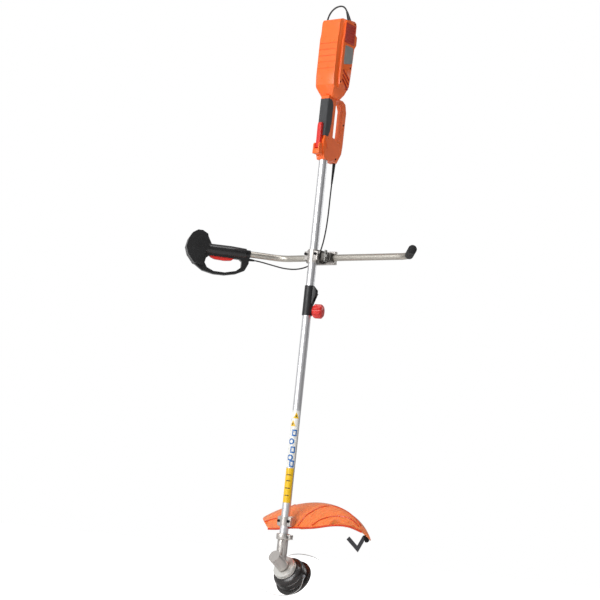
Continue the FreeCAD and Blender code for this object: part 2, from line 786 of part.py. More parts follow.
def soft_grips():
    """Soft skins on the front and the back of the rear grip."""
    half = "2*(rear_grip_half_width-3)"
    low, high = "lever_pivot_z+86", "housing_foot_z-8"
    front = new_body("soft_grip_front")
    face = "-rear_grip_front"
    extrude(front, "Pad", sketch(front, "YZ_Plane", [
        (face, low), (face, high), (face + "-grip_skin", high + "-4"),
        (face + "-grip_skin", low + "+1")]), half)
    back = new_body("soft_grip_back")
    face = "rear_grip_back"
    extrude(back, "Pad", sketch(back, "YZ_Plane", [
        (face, "gap_low_z+4"), (face + "+grip_skin", "gap_low_z+7"),
        (face + "+grip_skin", "gap_high_z-7"), (face, "gap_high_z-4")]), half)


def safety_lever():
    """A palm lever that must be pressed before the motor can start."""
    body = new_body("safety_lever")
    foot, depth = "lever_pivot_z", "lever_pivot_depth"
    outline = [(depth + "+5", foot + "-4"), (depth + "+5", foot + "+4"),
               (depth + "+8", foot + "+24"), (depth + "+6", foot + "+lever_length-4"),
               (depth + "+3", foot + "+lever_length+3"), (depth + "-2", foot + "+lever_length+1"),
               (depth + "-4", foot + "+lever_length-8"), (depth + "-3", foot + "+12"),
               (depth + "-5", foot + "-3")]
    profile = sketch(body, "YZ_Plane", outline, (depth, foot, "2+running_gap"))
    extrude(body, "Pad", profile, "2*lever_half_width")
    pin = new_body("lever_pin")
    extrude(pin, "Pad", sketch(pin, "YZ_Plane", (depth, foot, "2")),
            "2*(lever_half_width+free_gap)")


def lever_switch_box():
    """A small switch behind the lever."""
    room = "lever_half_width-0.5"
    return block("-(%s)" % room, room, "-16.9", "-10.5", "lever_pivot_z+40", "lever_pivot_z+60")


def lever_switch():
    keep(lever_switch_box(), "lockoff_switch")


def air_grille():
    """A slatted inlet grille in the right side of the housing."""
    plate = block("housing_half_width", "housing_half_width+1.6", "-10", "38", "676", "738")
    slats = [block("housing_half_width+0.6", "housing_half_width+3", "-6", "34", z, z + "+4")
             for z in ("682", "691", "700", "709", "718", "727")]
    keep(cut(plate, fuse(slats)), "air_grille")


def housing_screw_set(make):
    """Screws that close the housing from the right, sunk in the right half."""
    loop, side = "loop_half_width", "housing_half_width"
    spots = [(loop, "46", "316"), (loop, "67", "430"), (side, "-8", "549"), (side, "33", "602"),
             (side, "34", "744")]
    return [make(face + "-1.5", y, z, ACROSS, shank=1.8, length=6.0, head=3.2, head_height=1.5)
            for face, y, z in spots]


def housing_screws():
    group("housing_screws", housing_screw_set(cap_screw))


# --------------------------------------------------------------------- motor


def motor():
    stator = ring("21", "motor_radius", "570", "630")
    keep(stator, "motor_stator")
    turned("motor_armature", [
        ("0", "shaft_top_z+2"), ("4", "shaft_top_z+2"), ("4", "574"), ("20", "574"),
        ("20", "626"), ("5", "630"), ("5", "650"), ("13", "650"), ("13", "668"), ("4", "668"),
        ("4", "motor_top_z+6"), ("0", "motor_top_z+6")])
    brushes = []
    for inner, outer, width, low in (("13.3", "27", "4", "653"), ("27", "30.2", "6", "650")):
        high = "%d" % (2 * 659 - int(low))
        brushes.append(block(inner, outer, "-" + width, width, low, high))
        brushes.append(block("-" + outer, "-" + inner, "-" + width, width, low, high))
    group("carbon_brushes", brushes)
    inner = "4+running_gap"
    group("motor_bearings", [ring(inner, "11", "motor_foot_z-7", "motor_foot_z"),
                             ring(inner, "11", "motor_top_z", "motor_top_z+7")])


def cooling_fan():
    """A fan on the armature shaft: a disc with straight blades."""
    body = new_body("cooling_fan")
    spin(body, "Revolution", sketch(body, "XZ_Plane", [
        ("4", "530"), ("8", "530"), ("8", "538"), ("motor_radius-1.5", "538"),
        ("motor_radius-1.5", "541"), ("8", "541"), ("8", "552"), ("4", "552")]))
    tip = "motor_radius-2.5"
    blade = sketch(body, "XZ_Plane", [("7.5", "540.5"), (tip, "540.5"), (tip, "550"),
                                      ("7.5", "552")])
    pad = extrude(body, "Pad", blade, "1.6")
    pattern = body.newObject("PartDesign::PolarPattern", "blades")
    pattern.Originals = [pad]
    pattern.Axis = (blade, ["V_Axis"])
    pattern.Angle = 360
    pattern.Occurrences = 10
    body.Tip = pattern


# --------------------------------------------------------------------- cords and plug


def strain_relief(label, base, tip, thick, thin):
    """A tapered boot from base to tip, given as points, with end radii."""
    start, end = Vector(*base), Vector(*tip)
    body = turned(label, [("0", "0"), (str(thick), "0"),
                          (str(thin), "%.6f" % (end - start).Length),
                          ("0", "%.6f" % (end - start).Length)])
    body.Placement = Placement(start, Rotation(Vector(0, 0, 1), end - start))


MAINS_ROUTE = [(-1.0, 41.2, 792.0), (-7.5, 40.0, 805.5), (-22.0, 37.5, 813.0),
               (-41.0, 34.0, 809.0), (-57.0, 31.0, 795.0), (-66.5, 29.5, 773.0),
               (-68.5, 30.0, 742.0), (-65.0, 33.0, 706.0), (-62.5, 34.5, 669.0),
               (-62.5, 33.5, 635.0)]
SWITCH_ROUTE = [(3.0, 50.0, 240.0), (2.0, 50.2, 196.0), (1.5, 51.0, 142.0),
                (-2.0, 52.0, 92.0), (-9.0, 53.0, 50.0), (-20.0, 53.0, 14.0),
                (-42.0, 46.0, -19.0), (-74.0, 27.0, -35.0), (-112.0, 9.0, -36.0),
                (-150.0, -8.0, -27.5), (-187.8, -25.8, -18.6), (-198.5, -38.6, -17.5)]


def mains_cord():
    strain_relief("mains_strain_relief", (16.0, 40.0, 753.0), MAINS_ROUTE[0], 7.0, 3.4)
    cord("mains_cord", MAINS_ROUTE, "mains_radius")
    end = Vector(*MAINS_ROUTE[-1])
    before = Vector(*MAINS_ROUTE[-2])
    turn = Rotation(Vector(0, 0, 1), end - before)
    plug = turned("mains_plug", [("0", "0"), ("5", "0"), ("7", "22"), ("17", "32"), ("17", "52"),
                                 ("0", "52")])
    plug.Placement = Placement(end, turn)
    pins = []
    for side in (-9.5, 9.5):
        pin = DOC.addObject("Part::Cylinder", "pin")
        pin.Radius = 2.4
        pin.Height = 19
        offset = Placement(Vector(side, 0, 52), Rotation())
        pin.Placement = Placement(end, turn).multiply(offset)
        pins.append(pin)
    group("plug_pins", pins)


def switch_cable():
    strain_relief("switch_cable_relief", (4.0, 50.0, 303.0), SWITCH_ROUTE[0], 5.0, 2.8)
    cord("switch_cable", SWITCH_ROUTE, "switch_cable_radius")


# --------------------------------------------------------------------- gear case


def case_bolt(make):
    """The bolt that clamps the casting's collar on the tube."""
    return make("21", "-5", "case_collar_z-8", TO_FRONT, length=9.0, head=3.8)


def guard_bolts(make):
    """Two bolts through the guard's strap and block."""
    return [make(x, "-6", "guard_clamp_z", TO_FRONT, shank=2.4, length=24.0, head=4.2)
            for x in ("-19", "19")]


def gear_case():
    """The angled casting: a neck on the tube and a barrel on the head's axis."""
    turn = head_turn()
    cross = "head_cross_z"
    neck = rod("case_neck_radius", "0", "case_collar_z-(%s)" % cross, z=cross)
    collar = rod("case_neck_radius+2", "case_collar_z-16", "case_collar_z")
    ear = block("10", "26", "-5", "5", "case_collar_z-14", "case_collar_z-2")
    barrel = rod("case_radius", "case_top", "case_foot", z=cross, turn=turn)
    socket = rod("tube_od/2", "tube_foot_z", "case_collar_z+1")
    passage = rod("case_neck_radius-case_wall", "0", "tube_foot_z-(%s)" % cross, z=cross)
    chamber = rod("case_radius-case_wall", "-29", "3", z=cross, turn=turn)
    top_seat = rod("9.5", "-37", "-29", z=cross, turn=turn)
    foot_seat = rod("12", "3", "10", z=cross, turn=turn)
    mouth = rod("7", "9", "case_foot+1", z=cross, turn=turn)
    outside = fuse([neck, collar, ear, barrel])
    holes = [socket, passage, chamber, top_seat, foot_seat, mouth, case_bolt(screw_hole)]
    keep(cut(outside, fuse(holes)), "gear_case")


def gear_bearings():
    turn = head_turn()
    cross = "head_cross_z"
    spindle = "shaft_radius+running_gap"
    top = ring(spindle, "9.5", "-36", "-36+bearing_height", z=cross, turn=turn)
    foot = ring(spindle, "12", "3", "3+bearing_height", z=cross, turn=turn)
    shaft = ring(spindle, "case_neck_radius-case_wall", "28", "28+bearing_height", z=cross)
    group("gear_case_bearings", [top, foot, shaft])


def bevel(teeth, other_teeth, phase):
    """A bevel gear with its apex at the origin, opening along +Z, with narrow straight teeth."""
    shaft_angle = math.radians(size("head_tilt"))
    pitch = math.atan2(math.sin(shaft_angle), other_teeth / teeth + math.cos(shaft_angle))
    inner, outer = size("gear_slant_inner"), size("gear_slant_outer")

    def corner(slant, off, across):
        """A point at a slant length, off the pitch cone and across the tooth."""
        radius = slant * math.sin(pitch) + off * math.cos(pitch)
        height = slant * math.cos(pitch) - off * math.sin(pitch)
        return Vector(radius, across, height)

    root = [corner(inner, -1.5, 0), corner(outer, -1.5, 0)]
    foot = root[1].z + 2.5
    profile = Part.makePolygon([Vector(0, 0, root[0].z), root[0], root[1],
                                Vector(root[1].x, 0, foot), Vector(0, 0, foot),
                                Vector(0, 0, root[0].z)])
    blank = Part.Face(profile).revolve(Vector(0, 0, 0), Vector(0, 0, 1), 360)
    wires = []
    for slant in (inner, outer):
        share = slant / outer
        low, high = -2.0 * share, 1.0 * share
        wide, slim = 1.25 * share, 0.75 * share
        ends = [corner(slant, low, -wide), corner(slant, low, wide),
                corner(slant, high, slim), corner(slant, high, -slim)]
        wires.append(Part.makePolygon(ends + [ends[0]]))
    tooth = Part.makeLoft(wires, True, True)
    for number in range(int(teeth)):
        copy = tooth.copy()
        copy.rotate(Vector(0, 0, 0), Vector(0, 0, 1), phase + 360.0 * number / teeth)
        blank = blank.fuse(copy)
    return blank


def output_gear():
    """The gear on the output spindle, turned so that the pinion's tooth stands in a gap."""
    small, large = size("pinion_teeth"), size("gear_teeth")
    gear = bevel(large, small, -90.0 + 180.0 / large)
    gear = gear.cut(Part.makeCylinder(size("shaft_radius"), 60))
    piece = solid("bevel_gear", gear.removeSplitter())
    flip = Rotation(Vector(0, 1, 0), 180)
    piece.Placement = Placement(Vector(0, 0, size("head_cross_z")), head_turn().multiply(flip))


def lower_bolts():
    group("lower_bolts", [case_bolt(cap_screw)] + guard_bolts(cap_screw))


# --------------------------------------------------------------------- cutting head


def output_spindle():
    on_head(turned("output_spindle", [("0", "-36"), ("shaft_radius", "-36"),
                                      ("shaft_radius", "cup_top+14"), ("0", "cup_top+14")]))


def head_flange():
    """The metal disc between the gear case and the head, and its nut."""
    on_head(turned("head_flange", [
        ("shaft_radius", "case_foot+1"), ("14", "case_foot+1"), ("16", "case_foot+3"),
        ("34", "case_foot+4"), ("36", "case_foot+6"), ("36", "case_foot+9"),
        ("33", "case_foot+10"), ("33", "case_foot+13"), ("36", "case_foot+14"),
        ("36", "cup_top-2"), ("33", "cup_top"), ("shaft_radius", "cup_top")]))


def head_cup():
    """The cup that holds the spool, with an eyelet hole at each side."""
    body = new_body("head_cup")
    wall = "cup_wall"
    spin(body, "Revolution", sketch(body, "XZ_Plane", [
        ("shaft_radius", "cup_top"), ("cup_radius-14", "cup_top"), ("cup_radius-3", "cup_top+7"),
        ("cup_radius", "cup_top+14"), ("cup_radius", "cup_foot-base_height"),
        ("base_radius", "cup_foot-base_height+1"), ("base_radius", "cup_foot"),
        ("cup_radius-cup_wall", "cup_foot"), ("cup_radius-cup_wall", "cup_top+15"),
        ("cup_radius-6", "cup_top+9"), ("cup_radius-15", "cup_top+" + wall),
        ("shaft_radius", "cup_top+" + wall)]))
    hole = sketch(body, "YZ_Plane", ("0", "eyelet_along", "5"))
    extrude(body, "Pocket", hole, "2*cup_radius+10")
    on_head(body)


def eyelets():
    turn = head_turn()
    spots = []
    for side in (1, -1):
        out = turn.multiply(Rotation(Vector(0, 1, 0), 90 * side))
        centre = head_point(0, 0, size("eyelet_along"))
        spots.append(ring("1.4", "5", "cup_radius-cup_wall", "cup_radius+3",
                          *["%.6f" % value for value in centre], turn=out))
    group("line_eyelets", spots)


def spool():
    """The spool that carries the spare line and rides down with the bump knob."""
    top = "cup_top+10+bump_travel"
    wide, core = "spool_flange_radius", "spool_core_radius"
    on_head(turned("line_spool", [
        ("shaft_radius+1", top), (wide, top), (wide, top + "+2"), (core, top + "+2"),
        (core, "cup_foot-9"), (wide, "cup_foot-9"), (wide, "cup_foot-7"),
        ("shaft_radius+1", "cup_foot-7")]))
    on_head(turned("head_spring", ring_corners("10", "14", "cup_top+cup_wall", top)))


def bump_knob():
    """The domed foot that is knocked on the ground to feed line."""
    on_head(turned("bump_knob", [
        ("0", "cup_foot-7"), ("cup_radius-5", "cup_foot-7"), ("cup_radius-5", "cup_foot+3"),
        ("cup_radius-8", "cup_foot+5"), ("26", "knob_face-3"), ("20", "knob_face"),
        ("0", "knob_face")]))


LINE_ROUTE = [(54.0, 3.0), (57.0, 20.0), (59.0, 40.0), (48.0, 60.0), (26.0, 71.0), (0.0, 74.5),
              (-28.0, 73.5), (-57.0, 68.5), (-84.0, 60.0)]


def trim_lines():
    """Two nylon lines, half a turn apart, which curl round the head as they lie."""
    for number, side in ((1, 1), (2, -1)):
        height = size("eyelet_along")
        route = [tuple(head_point(side * x, side * y, height)) for x, y in LINE_ROUTE]
        cord("trim_line_%d" % number, route, "line_radius")


# --------------------------------------------------------------------- guard


def guard_clamp():
    """A block behind the tube and a strap in front of it."""
    high, wide, centre = "guard_clamp_half_height", "guard_clamp_half_width", "guard_clamp_z"
    low_z, high_z = centre + "-" + high, centre + "+" + high
    tube = rod("tube_od/2", low_z + "-1", high_z + "+1")
    behind = block("-" + wide, wide, "0.3", "guard_clamp_back", low_z, high_z)
    keep(cut(behind, fuse([tube] + guard_bolts(screw_hole))), "guard_clamp_block")
    strap = rod("tube_od/2+2.5", low_z + "+2", high_z + "-2")
    ears = block("-" + wide, wide, "-6", "-0.3", low_z + "+2", high_z + "-2")
    room = block("-60", "60", "-0.3", "60", low_z + "-5", high_z + "+5")
    tube = rod("tube_od/2", low_z + "-1", high_z + "+1")
    holes = guard_bolts(screw_hole)
    keep(cut(fuse([strap, ears]), fuse([room, tube] + holes)), "guard_clamp_strap")


def guard():
    """A domed shield with a skirt, kept to a sector on the operator's side of the head."""
    body = new_body("guard_shell")
    PIECES.remove(body)
    rim, inner, wall = "guard_rim", "guard_inner", "guard_wall"
    outside = [(inner, "-47"), ("(%s+%s)/2-18" % (rim, inner), "-38"), (rim + "-38", "-22"),
               (rim + "-12", "-8"), (rim, "6"), (rim + "+4", "skirt_depth")]
    inside = [(rim + "+4-" + wall, "skirt_depth"), (rim + "-" + wall, "6+%s/3" % wall),
              (rim + "-12-%s*0.7" % wall, "-8+%s*0.8" % wall), (rim + "-38", "-22+%s*1.1" % wall),
              ("(%s+%s)/2-18" % (rim, inner), "-38+" + wall), (inner, "-47+" + wall)]
    spin(body, "Revolution", sketch(body, "XZ_Plane", outside + inside))
    far = [("-500", "-500"), ("500", "-500"), ("500", "500"), ("-500", "500")]
    kept = [("-106", "-146"), ("-172", "-196"), ("-214", "-272"), ("0", "-340"),
            ("250", "-252"), ("222", "-182"), ("203", "-190"), ("184", "-194"), ("152", "-196"),
            ("111", "-186"), ("62", "-164"), ("0", "-150")]
    extrude(body, "Pocket", sketch(body, "XY_Plane", far, kept), "300")
    offset = head_turn().multVec(Vector(size("guard_centre_x"), size("guard_centre_y"), 0))
    base = Vector(0, 0, size("head_cross_z")) + offset
    body.Placement = Placement(base, head_turn())
    high, wide, centre = "guard_clamp_half_height", "guard_clamp_half_width", "guard_clamp_z"
    seat = block("-" + wide, wide, "-10", "guard_clamp_back", centre + "-" + high,
                 centre + "+" + high)
    tube = rod("tube_od/2+free_gap", centre + "-60", centre + "+60")
    keep(cut(body, fuse([seat, tube] + guard_bolts(screw_hole))), "guard")


def line_cutter():
    """A bent steel strip at the guard's tip that trims the line to length."""
    start, bend, end = head_point(240, -135, 27), head_point(221, -90, 42), head_point(178, -118, 22)
    first, second = (bend - start).normalize(), (end - bend).normalize()
    normal = first.cross(second).normalize()
    wide, thick = 12.0, 2.0
    side_first, side_second = normal.cross(first).normalize(), normal.cross(second).normalize()
    mitre = (side_first + side_second).normalize()
    mitre = mitre * (wide / mitre.dot(side_first))
    corners = [start, bend, end, end + side_second * wide, bend + mitre, start + side_first * wide]
    face = Part.Face(Part.makePolygon(corners + [corners[0]]))
    solid("line_cutter", face.extrude(normal * thick))


# --------------------------------------------------------------------- all pieces


def build():
    fill_sheet()
    upper_tube()
    lower_tube()
    bushings("upper_shaft_bushings", (-95, 60, 250))
    bushings("lower_shaft_bushings", (-200, -480, -780))
    upper_shaft()
    lower_shaft()
    coupler_sleeve()
    coupler_knob()
    latch()
    clamp_bracket()
    clamp_caps()
    clamp_screws()
    wing_screw()
    handlebar()
    right_grip()
    grip_shells()
    trigger()
    grip_switch()
    cable_boot()
    rear_housing()
    soft_grips()
    safety_lever()
    lever_switch()
    air_grille()
    housing_screws()
    motor()
    cooling_fan()
    mains_cord()
    switch_cable()
    gear_case()
    gear_bearings()
    output_gear()
    lower_bolts()
    output_spindle()
    head_flange()
    head_cup()
    eyelets()
    spool()
    bump_knob()
    trim_lines()
    guard_clamp()
    guard()
    line_cutter()


def check_and_write():
    """Refuse any failed object or bad shape, then write one file per sub-part."""
    DOC.recompute()
    for thing in DOC.Objects:
        if "Invalid" in thing.State or "Error" in thing.State:
            raise RuntimeError("%s failed: %s" % (thing.Label, thing.State))
    os.makedirs("parts", exist_ok=True)
    for piece in PIECES:
        if piece.Shape.isNull() or not piece.Shape.isValid():
            raise RuntimeError("%s has a bad shape" % piece.Label)
        piece.Shape.exportStep("parts/%s.step" % piece.Label)
    print("%d sub-parts written" % len(PIECES))


build()
check_and_write()
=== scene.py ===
# %% [markdown]
# # An electric string trimmer with bicycle handlebars
#
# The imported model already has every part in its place, in metres, with +Z up the tube to the
# motor and the operator's side towards +Y. This file gives those parts their finishes and
# builds the visible shells again with rounded edges, ribs, slots, seams and labels.

# %% Load the frame
import math
import bmesh
import bpy
from mathutils import Matrix, Vector


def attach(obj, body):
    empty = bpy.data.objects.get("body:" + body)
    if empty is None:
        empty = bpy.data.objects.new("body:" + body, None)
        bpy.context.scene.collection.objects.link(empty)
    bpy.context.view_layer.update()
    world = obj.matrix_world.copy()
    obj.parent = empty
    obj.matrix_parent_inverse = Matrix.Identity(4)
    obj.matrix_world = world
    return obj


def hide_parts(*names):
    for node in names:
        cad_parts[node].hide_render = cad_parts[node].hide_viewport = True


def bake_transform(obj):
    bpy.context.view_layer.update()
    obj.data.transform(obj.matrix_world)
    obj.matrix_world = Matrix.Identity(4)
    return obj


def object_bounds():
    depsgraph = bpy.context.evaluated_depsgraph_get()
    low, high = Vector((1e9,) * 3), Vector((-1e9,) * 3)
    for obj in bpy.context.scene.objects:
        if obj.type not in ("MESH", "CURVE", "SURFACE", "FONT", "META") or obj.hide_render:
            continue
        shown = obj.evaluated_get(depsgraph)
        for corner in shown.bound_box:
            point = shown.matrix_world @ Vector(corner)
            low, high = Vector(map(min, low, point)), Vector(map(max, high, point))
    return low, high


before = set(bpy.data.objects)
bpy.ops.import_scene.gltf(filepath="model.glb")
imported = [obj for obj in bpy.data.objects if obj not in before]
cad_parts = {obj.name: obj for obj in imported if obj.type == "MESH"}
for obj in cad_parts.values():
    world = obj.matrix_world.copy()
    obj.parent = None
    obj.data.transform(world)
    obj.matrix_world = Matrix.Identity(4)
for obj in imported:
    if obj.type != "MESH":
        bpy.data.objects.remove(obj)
CAD_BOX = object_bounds()
MM = 0.001
print("parts in the frame:", len(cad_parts))

# %% [markdown]
# ## Camera
#
# The trimmer is nearly two metres long, so it is seen from far back with a long lens. The
# camera stands low, slightly below the handlebar, and leans a little, so the tube slopes.

# %% Camera
LOOK_AT = Vector((-31.8, -1.8, -135.8)) * MM
FAR_BACK = 5.5
LENS_MM = 107.5
AZIMUTH, ELEVATION, LEAN = (math.radians(a) for a in (39.0, -7.8, 6.1))


def place_camera():
    """A camera that looks at LOOK_AT from the front right, leaning with the tube."""
    towards = Vector((math.sin(AZIMUTH) * math.cos(ELEVATION),
                      -math.cos(AZIMUTH) * math.cos(ELEVATION), math.sin(ELEVATION)))
    level = Vector((math.cos(AZIMUTH), math.sin(AZIMUTH), 0.0))
    upward = towards.cross(level)
    right = math.cos(LEAN) * level + math.sin(LEAN) * upward
    up = math.cos(LEAN) * upward - math.sin(LEAN) * level
    camera = bpy.data.objects.new("camera", bpy.data.cameras.new("camera"))
    bpy.context.scene.collection.objects.link(camera)
    turn = Matrix((right, up, towards)).transposed().to_4x4()
    camera.matrix_world = Matrix.Translation(LOOK_AT + FAR_BACK * towards) @ turn
    camera.data.lens = LENS_MM
    camera.data.sensor_width = 36.0
    camera.data.clip_start, camera.data.clip_end = 0.05, 60.0
    bpy.context.scene.camera = camera
    return towards, right, up


TOWARDS, RIGHT, UP = place_camera()
print("camera at", [round(v, 2) for v in bpy.context.scene.camera.location])

# %% [markdown]
# ## Colours and nodes
#
# Colours are written as sRGB hex values, as a paint chart gives them, and turned to linear
# light here. One helper adds any node with its settings and links.


# %% Helpers for finishes
def colour(hexa):
    """An sRGB hex value as linear RGBA."""
    parts = [int(hexa[i:i + 2], 16) / 255.0 for i in (0, 2, 4)]
    return tuple(p / 12.92 if p <= 0.04045 else ((p + 0.055) / 1.055) ** 2.4
                 for p in parts) + (1.0,)


def add(tree, kind, links=None, **settings):
    """Adds a node. Links maps an input to a value or to another node's output."""
    node = tree.nodes.new("ShaderNode" + kind)
    for name, value in settings.items():
        setattr(node, name, value)
    for name, value in (links or {}).items():
        if isinstance(value, bpy.types.NodeSocket):
            tree.links.new(value, node.inputs[name])
        else:
            node.inputs[name].default_value = value
    return node


def finish(name, hexa, roughness, **sockets):
    """A new material with these plain values. Returns its tree, shader and coordinates."""
    material = bpy.data.materials.new(name)
    material.use_nodes = True
    tree = material.node_tree
    shader = tree.nodes["Principled BSDF"]
    shader.inputs["Base Color"].default_value = colour(hexa)
    shader.inputs["Roughness"].default_value = roughness
    for socket, value in sockets.items():
        shader.inputs[socket.replace("_", " ")].default_value = value
    where = add(tree, "TexCoord").outputs["Object"]
    return tree, shader, where


def cloud(tree, where, size_mm, detail=3.0, stretch=(1, 1, 1)):
    """Soft noise whose blotches are about size_mm across."""
    mapped = add(tree, "Mapping", {"Vector": where, "Scale": stretch}).outputs["Vector"]
    scale = 1.0 / (size_mm * MM)
    return add(tree, "TexNoise", {"Vector": mapped, "Scale": scale,
                                  "Detail": detail}).outputs["Fac"]


def spread(tree, value, low, high, start=0.3, end=0.7):
    """Stretches a noise value over the range low to high."""
    return add(tree, "MapRange", {"Value": value, "From Min": start, "From Max": end,
                                  "To Min": low, "To Max": high}).outputs["Result"]


def tint(tree, shader, hexa, value):
    """Lightens and darkens the base colour by a value near 1."""
    shade = add(tree, "HueSaturation", {"Color": colour(hexa), "Value": value})
    tree.links.new(shade.outputs["Color"], shader.inputs["Base Color"])


def emboss(tree, shader, height, depth_mm, strength=0.6):
    """Raises the surface by a height pattern."""
    bump = add(tree, "Bump", {"Height": height, "Distance": depth_mm * MM,
                              "Strength": strength})
    tree.links.new(bump.outputs["Normal"], shader.inputs["Normal"])


def vary_gloss(tree, shader, value):
    tree.links.new(value, shader.inputs["Roughness"])


# %% [markdown]
# ## Moulded plastics
#
# The housing is ABS, moulded in a lightly spark-eroded tool: a glossy orange with a fine
# pebble and a slightly uneven gloss where hands rub it. The black parts are glass-filled
# nylon, which is duller and coarser. The grips are soft TPE and the bar end is rubber.


# %% Moulded plastics
def moulded(name, hexa, roughness, grain_mm, depth_mm, uneven=0.05, **sockets):
    """Moulded plastic: pebble grain, uneven gloss and a slight drift of colour."""
    tree, shader, where = finish(name, hexa, roughness, **sockets)
    drift = spread(tree, cloud(tree, where, 45.0), 1.0 - uneven, 1.0 + uneven)
    tint(tree, shader, hexa, drift)
    rub = spread(tree, cloud(tree, where, 14.0, 6.0), roughness - 0.07, roughness + 0.09)
    vary_gloss(tree, shader, rub)
    emboss(tree, shader, cloud(tree, where, grain_mm, 2.0), depth_mm)


moulded("orange_abs", "FB6C24", 0.33, 0.9, 0.05, Coat_Weight=0.15, Coat_Roughness=0.2)
# Darker red, for the air grille and for the sheets of painted shade at the slot floors.
moulded("dark_red_abs_and_slot_shade", "B8301C", 0.45, 0.9, 0.05)
moulded("red_abs", "D92A22", 0.32, 0.8, 0.04, Coat_Weight=0.2, Coat_Roughness=0.15)
moulded("black_glass_nylon", "1B1B1D", 0.42, 0.7, 0.06, 0.2)
moulded("gloss_black_nylon", "161617", 0.27, 0.7, 0.03, 0.1, Coat_Weight=0.3,
        Coat_Roughness=0.15)
moulded("grey_tpe", "3F4042", 0.72, 0.6, 0.08, 0.1)
moulded("black_rubber", "19191A", 0.78, 1.2, 0.12, 0.15)
moulded("black_pvc", "141415", 0.40, 1.5, 0.03, 0.1)
moulded("grey_plate", "8D8E8C", 0.38, 2.5, 0.02, 0.03)
moulded("label_white", "EDEDE8", 0.30, 6.0, 0.01, 0.02)
moulded("label_yellow", "F2C21B", 0.30, 6.0, 0.01, 0.02)
moulded("label_blue", "2F6FB5", 0.30, 6.0, 0.01, 0.02)
print("plastics:", len(bpy.data.materials))

# %% [markdown]
# The guard is polypropylene, thin enough to let some light through, so it glows where the
# light is behind it. Scattering under the surface gives that without real glass.

# %% Guard and line plastics
def glowing(name, hexa):
    """Glossy polypropylene with light scattered under its surface."""
    tree, shader, where = finish(name, hexa, 0.22, Subsurface_Weight=0.3,
                                 Subsurface_Scale=0.006)
    shader.inputs["Subsurface Radius"].default_value = (1.0, 0.35, 0.12)
    tint(tree, shader, hexa, spread(tree, cloud(tree, where, 60.0), 0.92, 1.06))
    vary_gloss(tree, shader, spread(tree, cloud(tree, where, 25.0, 5.0), 0.16, 0.34))
    emboss(tree, shader, cloud(tree, where, 40.0, 1.0), 0.4, 0.35)


glowing("orange_polypropylene", "FF8543")
# A darker copy of the guard's orange, given to the ribs as painted shade.
glowing("orange_polypropylene_rib_shade", "D8400F")

line_tree, line_shader, line_where = finish(
    "clear_grey_nylon_line", "C9CCCB", 0.3, Transmission_Weight=0.25)
emboss(line_tree, line_shader, cloud(line_tree, line_where, 2.0), 0.05)

head_tree, head_shader, head_where = finish(
    "black_polyamide_head", "161515", 0.25, Coat_Weight=0.5, Coat_Roughness=0.1)
tint(head_tree, head_shader, "1D1817", spread(
    head_tree, cloud(head_tree, head_where, 20.0), 0.9, 1.1))
vary_gloss(head_tree, head_shader, spread(
    head_tree, cloud(head_tree, head_where, 9.0, 3.0), 0.22, 0.30))
emboss(head_tree, head_shader, cloud(head_tree, head_where, 1.5), 0.05)

# %% [markdown]
# ## Metals
#
# The tube and bar are extruded aluminium, brushed lengthways and clear anodised: fine lines
# along the tube, soft broad highlights. The gear case is cast and bead-blasted. Screws are
# zinc-plated or blackened steel.


# %% Metals
def metal(name, hexa, roughness, size_mm, depth_mm, stretch=(1, 1, 1), uneven=0.05):
    """Metal with a pattern of marks, an uneven gloss and faint stains."""
    tree, shader, where = finish(name, hexa, roughness, Metallic=1.0)
    stains = spread(tree, cloud(tree, where, 35.0), 1.0 - uneven, 1.0 + uneven)
    tint(tree, shader, hexa, stains)
    marks = cloud(tree, where, size_mm, 4.0, stretch)
    vary_gloss(tree, shader, spread(tree, marks, roughness - 0.06, roughness + 0.08))
    emboss(tree, shader, marks, depth_mm, 0.4)


ALONG_TUBE = (1.0, 1.0, 0.02)
metal("anodised_tube", "A2A4A8", 0.58, 0.8, 0.006, ALONG_TUBE)
metal("anodised_bar", "C2BDB4", 0.36, 2.0, 0.004, (0.05, 0.3, 1.0))
metal("cast_aluminium", "8F9091", 0.44, 1.1, 0.10, uneven=0.08)
metal("dark_cast_aluminium", "5A5855", 0.46, 1.1, 0.10, uneven=0.08)
metal("grey_zinc_steel", "8E8D8A", 0.36, 0.9, 0.03, uneven=0.08)
metal("bright_aluminium", "D6D7D8", 0.30, 0.9, 0.02)
metal("zinc_steel", "BFC0BC", 0.30, 0.8, 0.02, uneven=0.08)
metal("ground_steel", "A9ABAD", 0.26, 0.6, 0.01)
metal("black_oxide_steel", "2A2A2C", 0.42, 0.8, 0.02)
metal("brass", "C9A24C", 0.28, 0.8, 0.01)
metal("copper_winding", "B4622F", 0.35, 0.6, 0.10, ALONG_TUBE)
metal("carbon", "1E1E1F", 0.6, 0.9, 0.04)
print("finishes:", len(bpy.data.materials))

# %% [markdown]
# ## Finishes for the parts that keep their own shape


# %% Which part has which finish
FINISHES = {
    "anodised_tube": ["upper_tube", "lower_tube"],
    "anodised_bar": ["handlebar"],
    "ground_steel": ["upper_drive_shaft", "lower_drive_shaft", "output_spindle", "lever_pin",
                     "trigger_pin", "motor_bearings", "gear_case_bearings", "bevel_gear",
                     "latch_spring", "head_spring", "motor_stator"],
    "zinc_steel": ["line_eyelets"],
    "bright_aluminium": ["head_flange"],
    "black_oxide_steel": ["bracket_screws", "housing_screws", "line_cutter", "lower_bolts"],
    "brass": ["upper_shaft_bushings", "lower_shaft_bushings", "plug_pins"],
    "copper_winding": ["motor_armature"],
    "carbon": ["carbon_brushes"],
    "black_glass_nylon": ["cooling_fan", "lockoff_switch", "grip_switch", "line_spool"],
    "black_pvc": ["mains_plug", "cable_boot"],
}


def paint(piece, name):
    piece.data.materials.clear()
    piece.data.materials.append(bpy.data.materials[name])


for finish_name, labels in FINISHES.items():
    for label in labels:
        paint(bpy.data.objects[label], finish_name)
print("finished as they are:", sum(len(v) for v in FINISHES.values()))

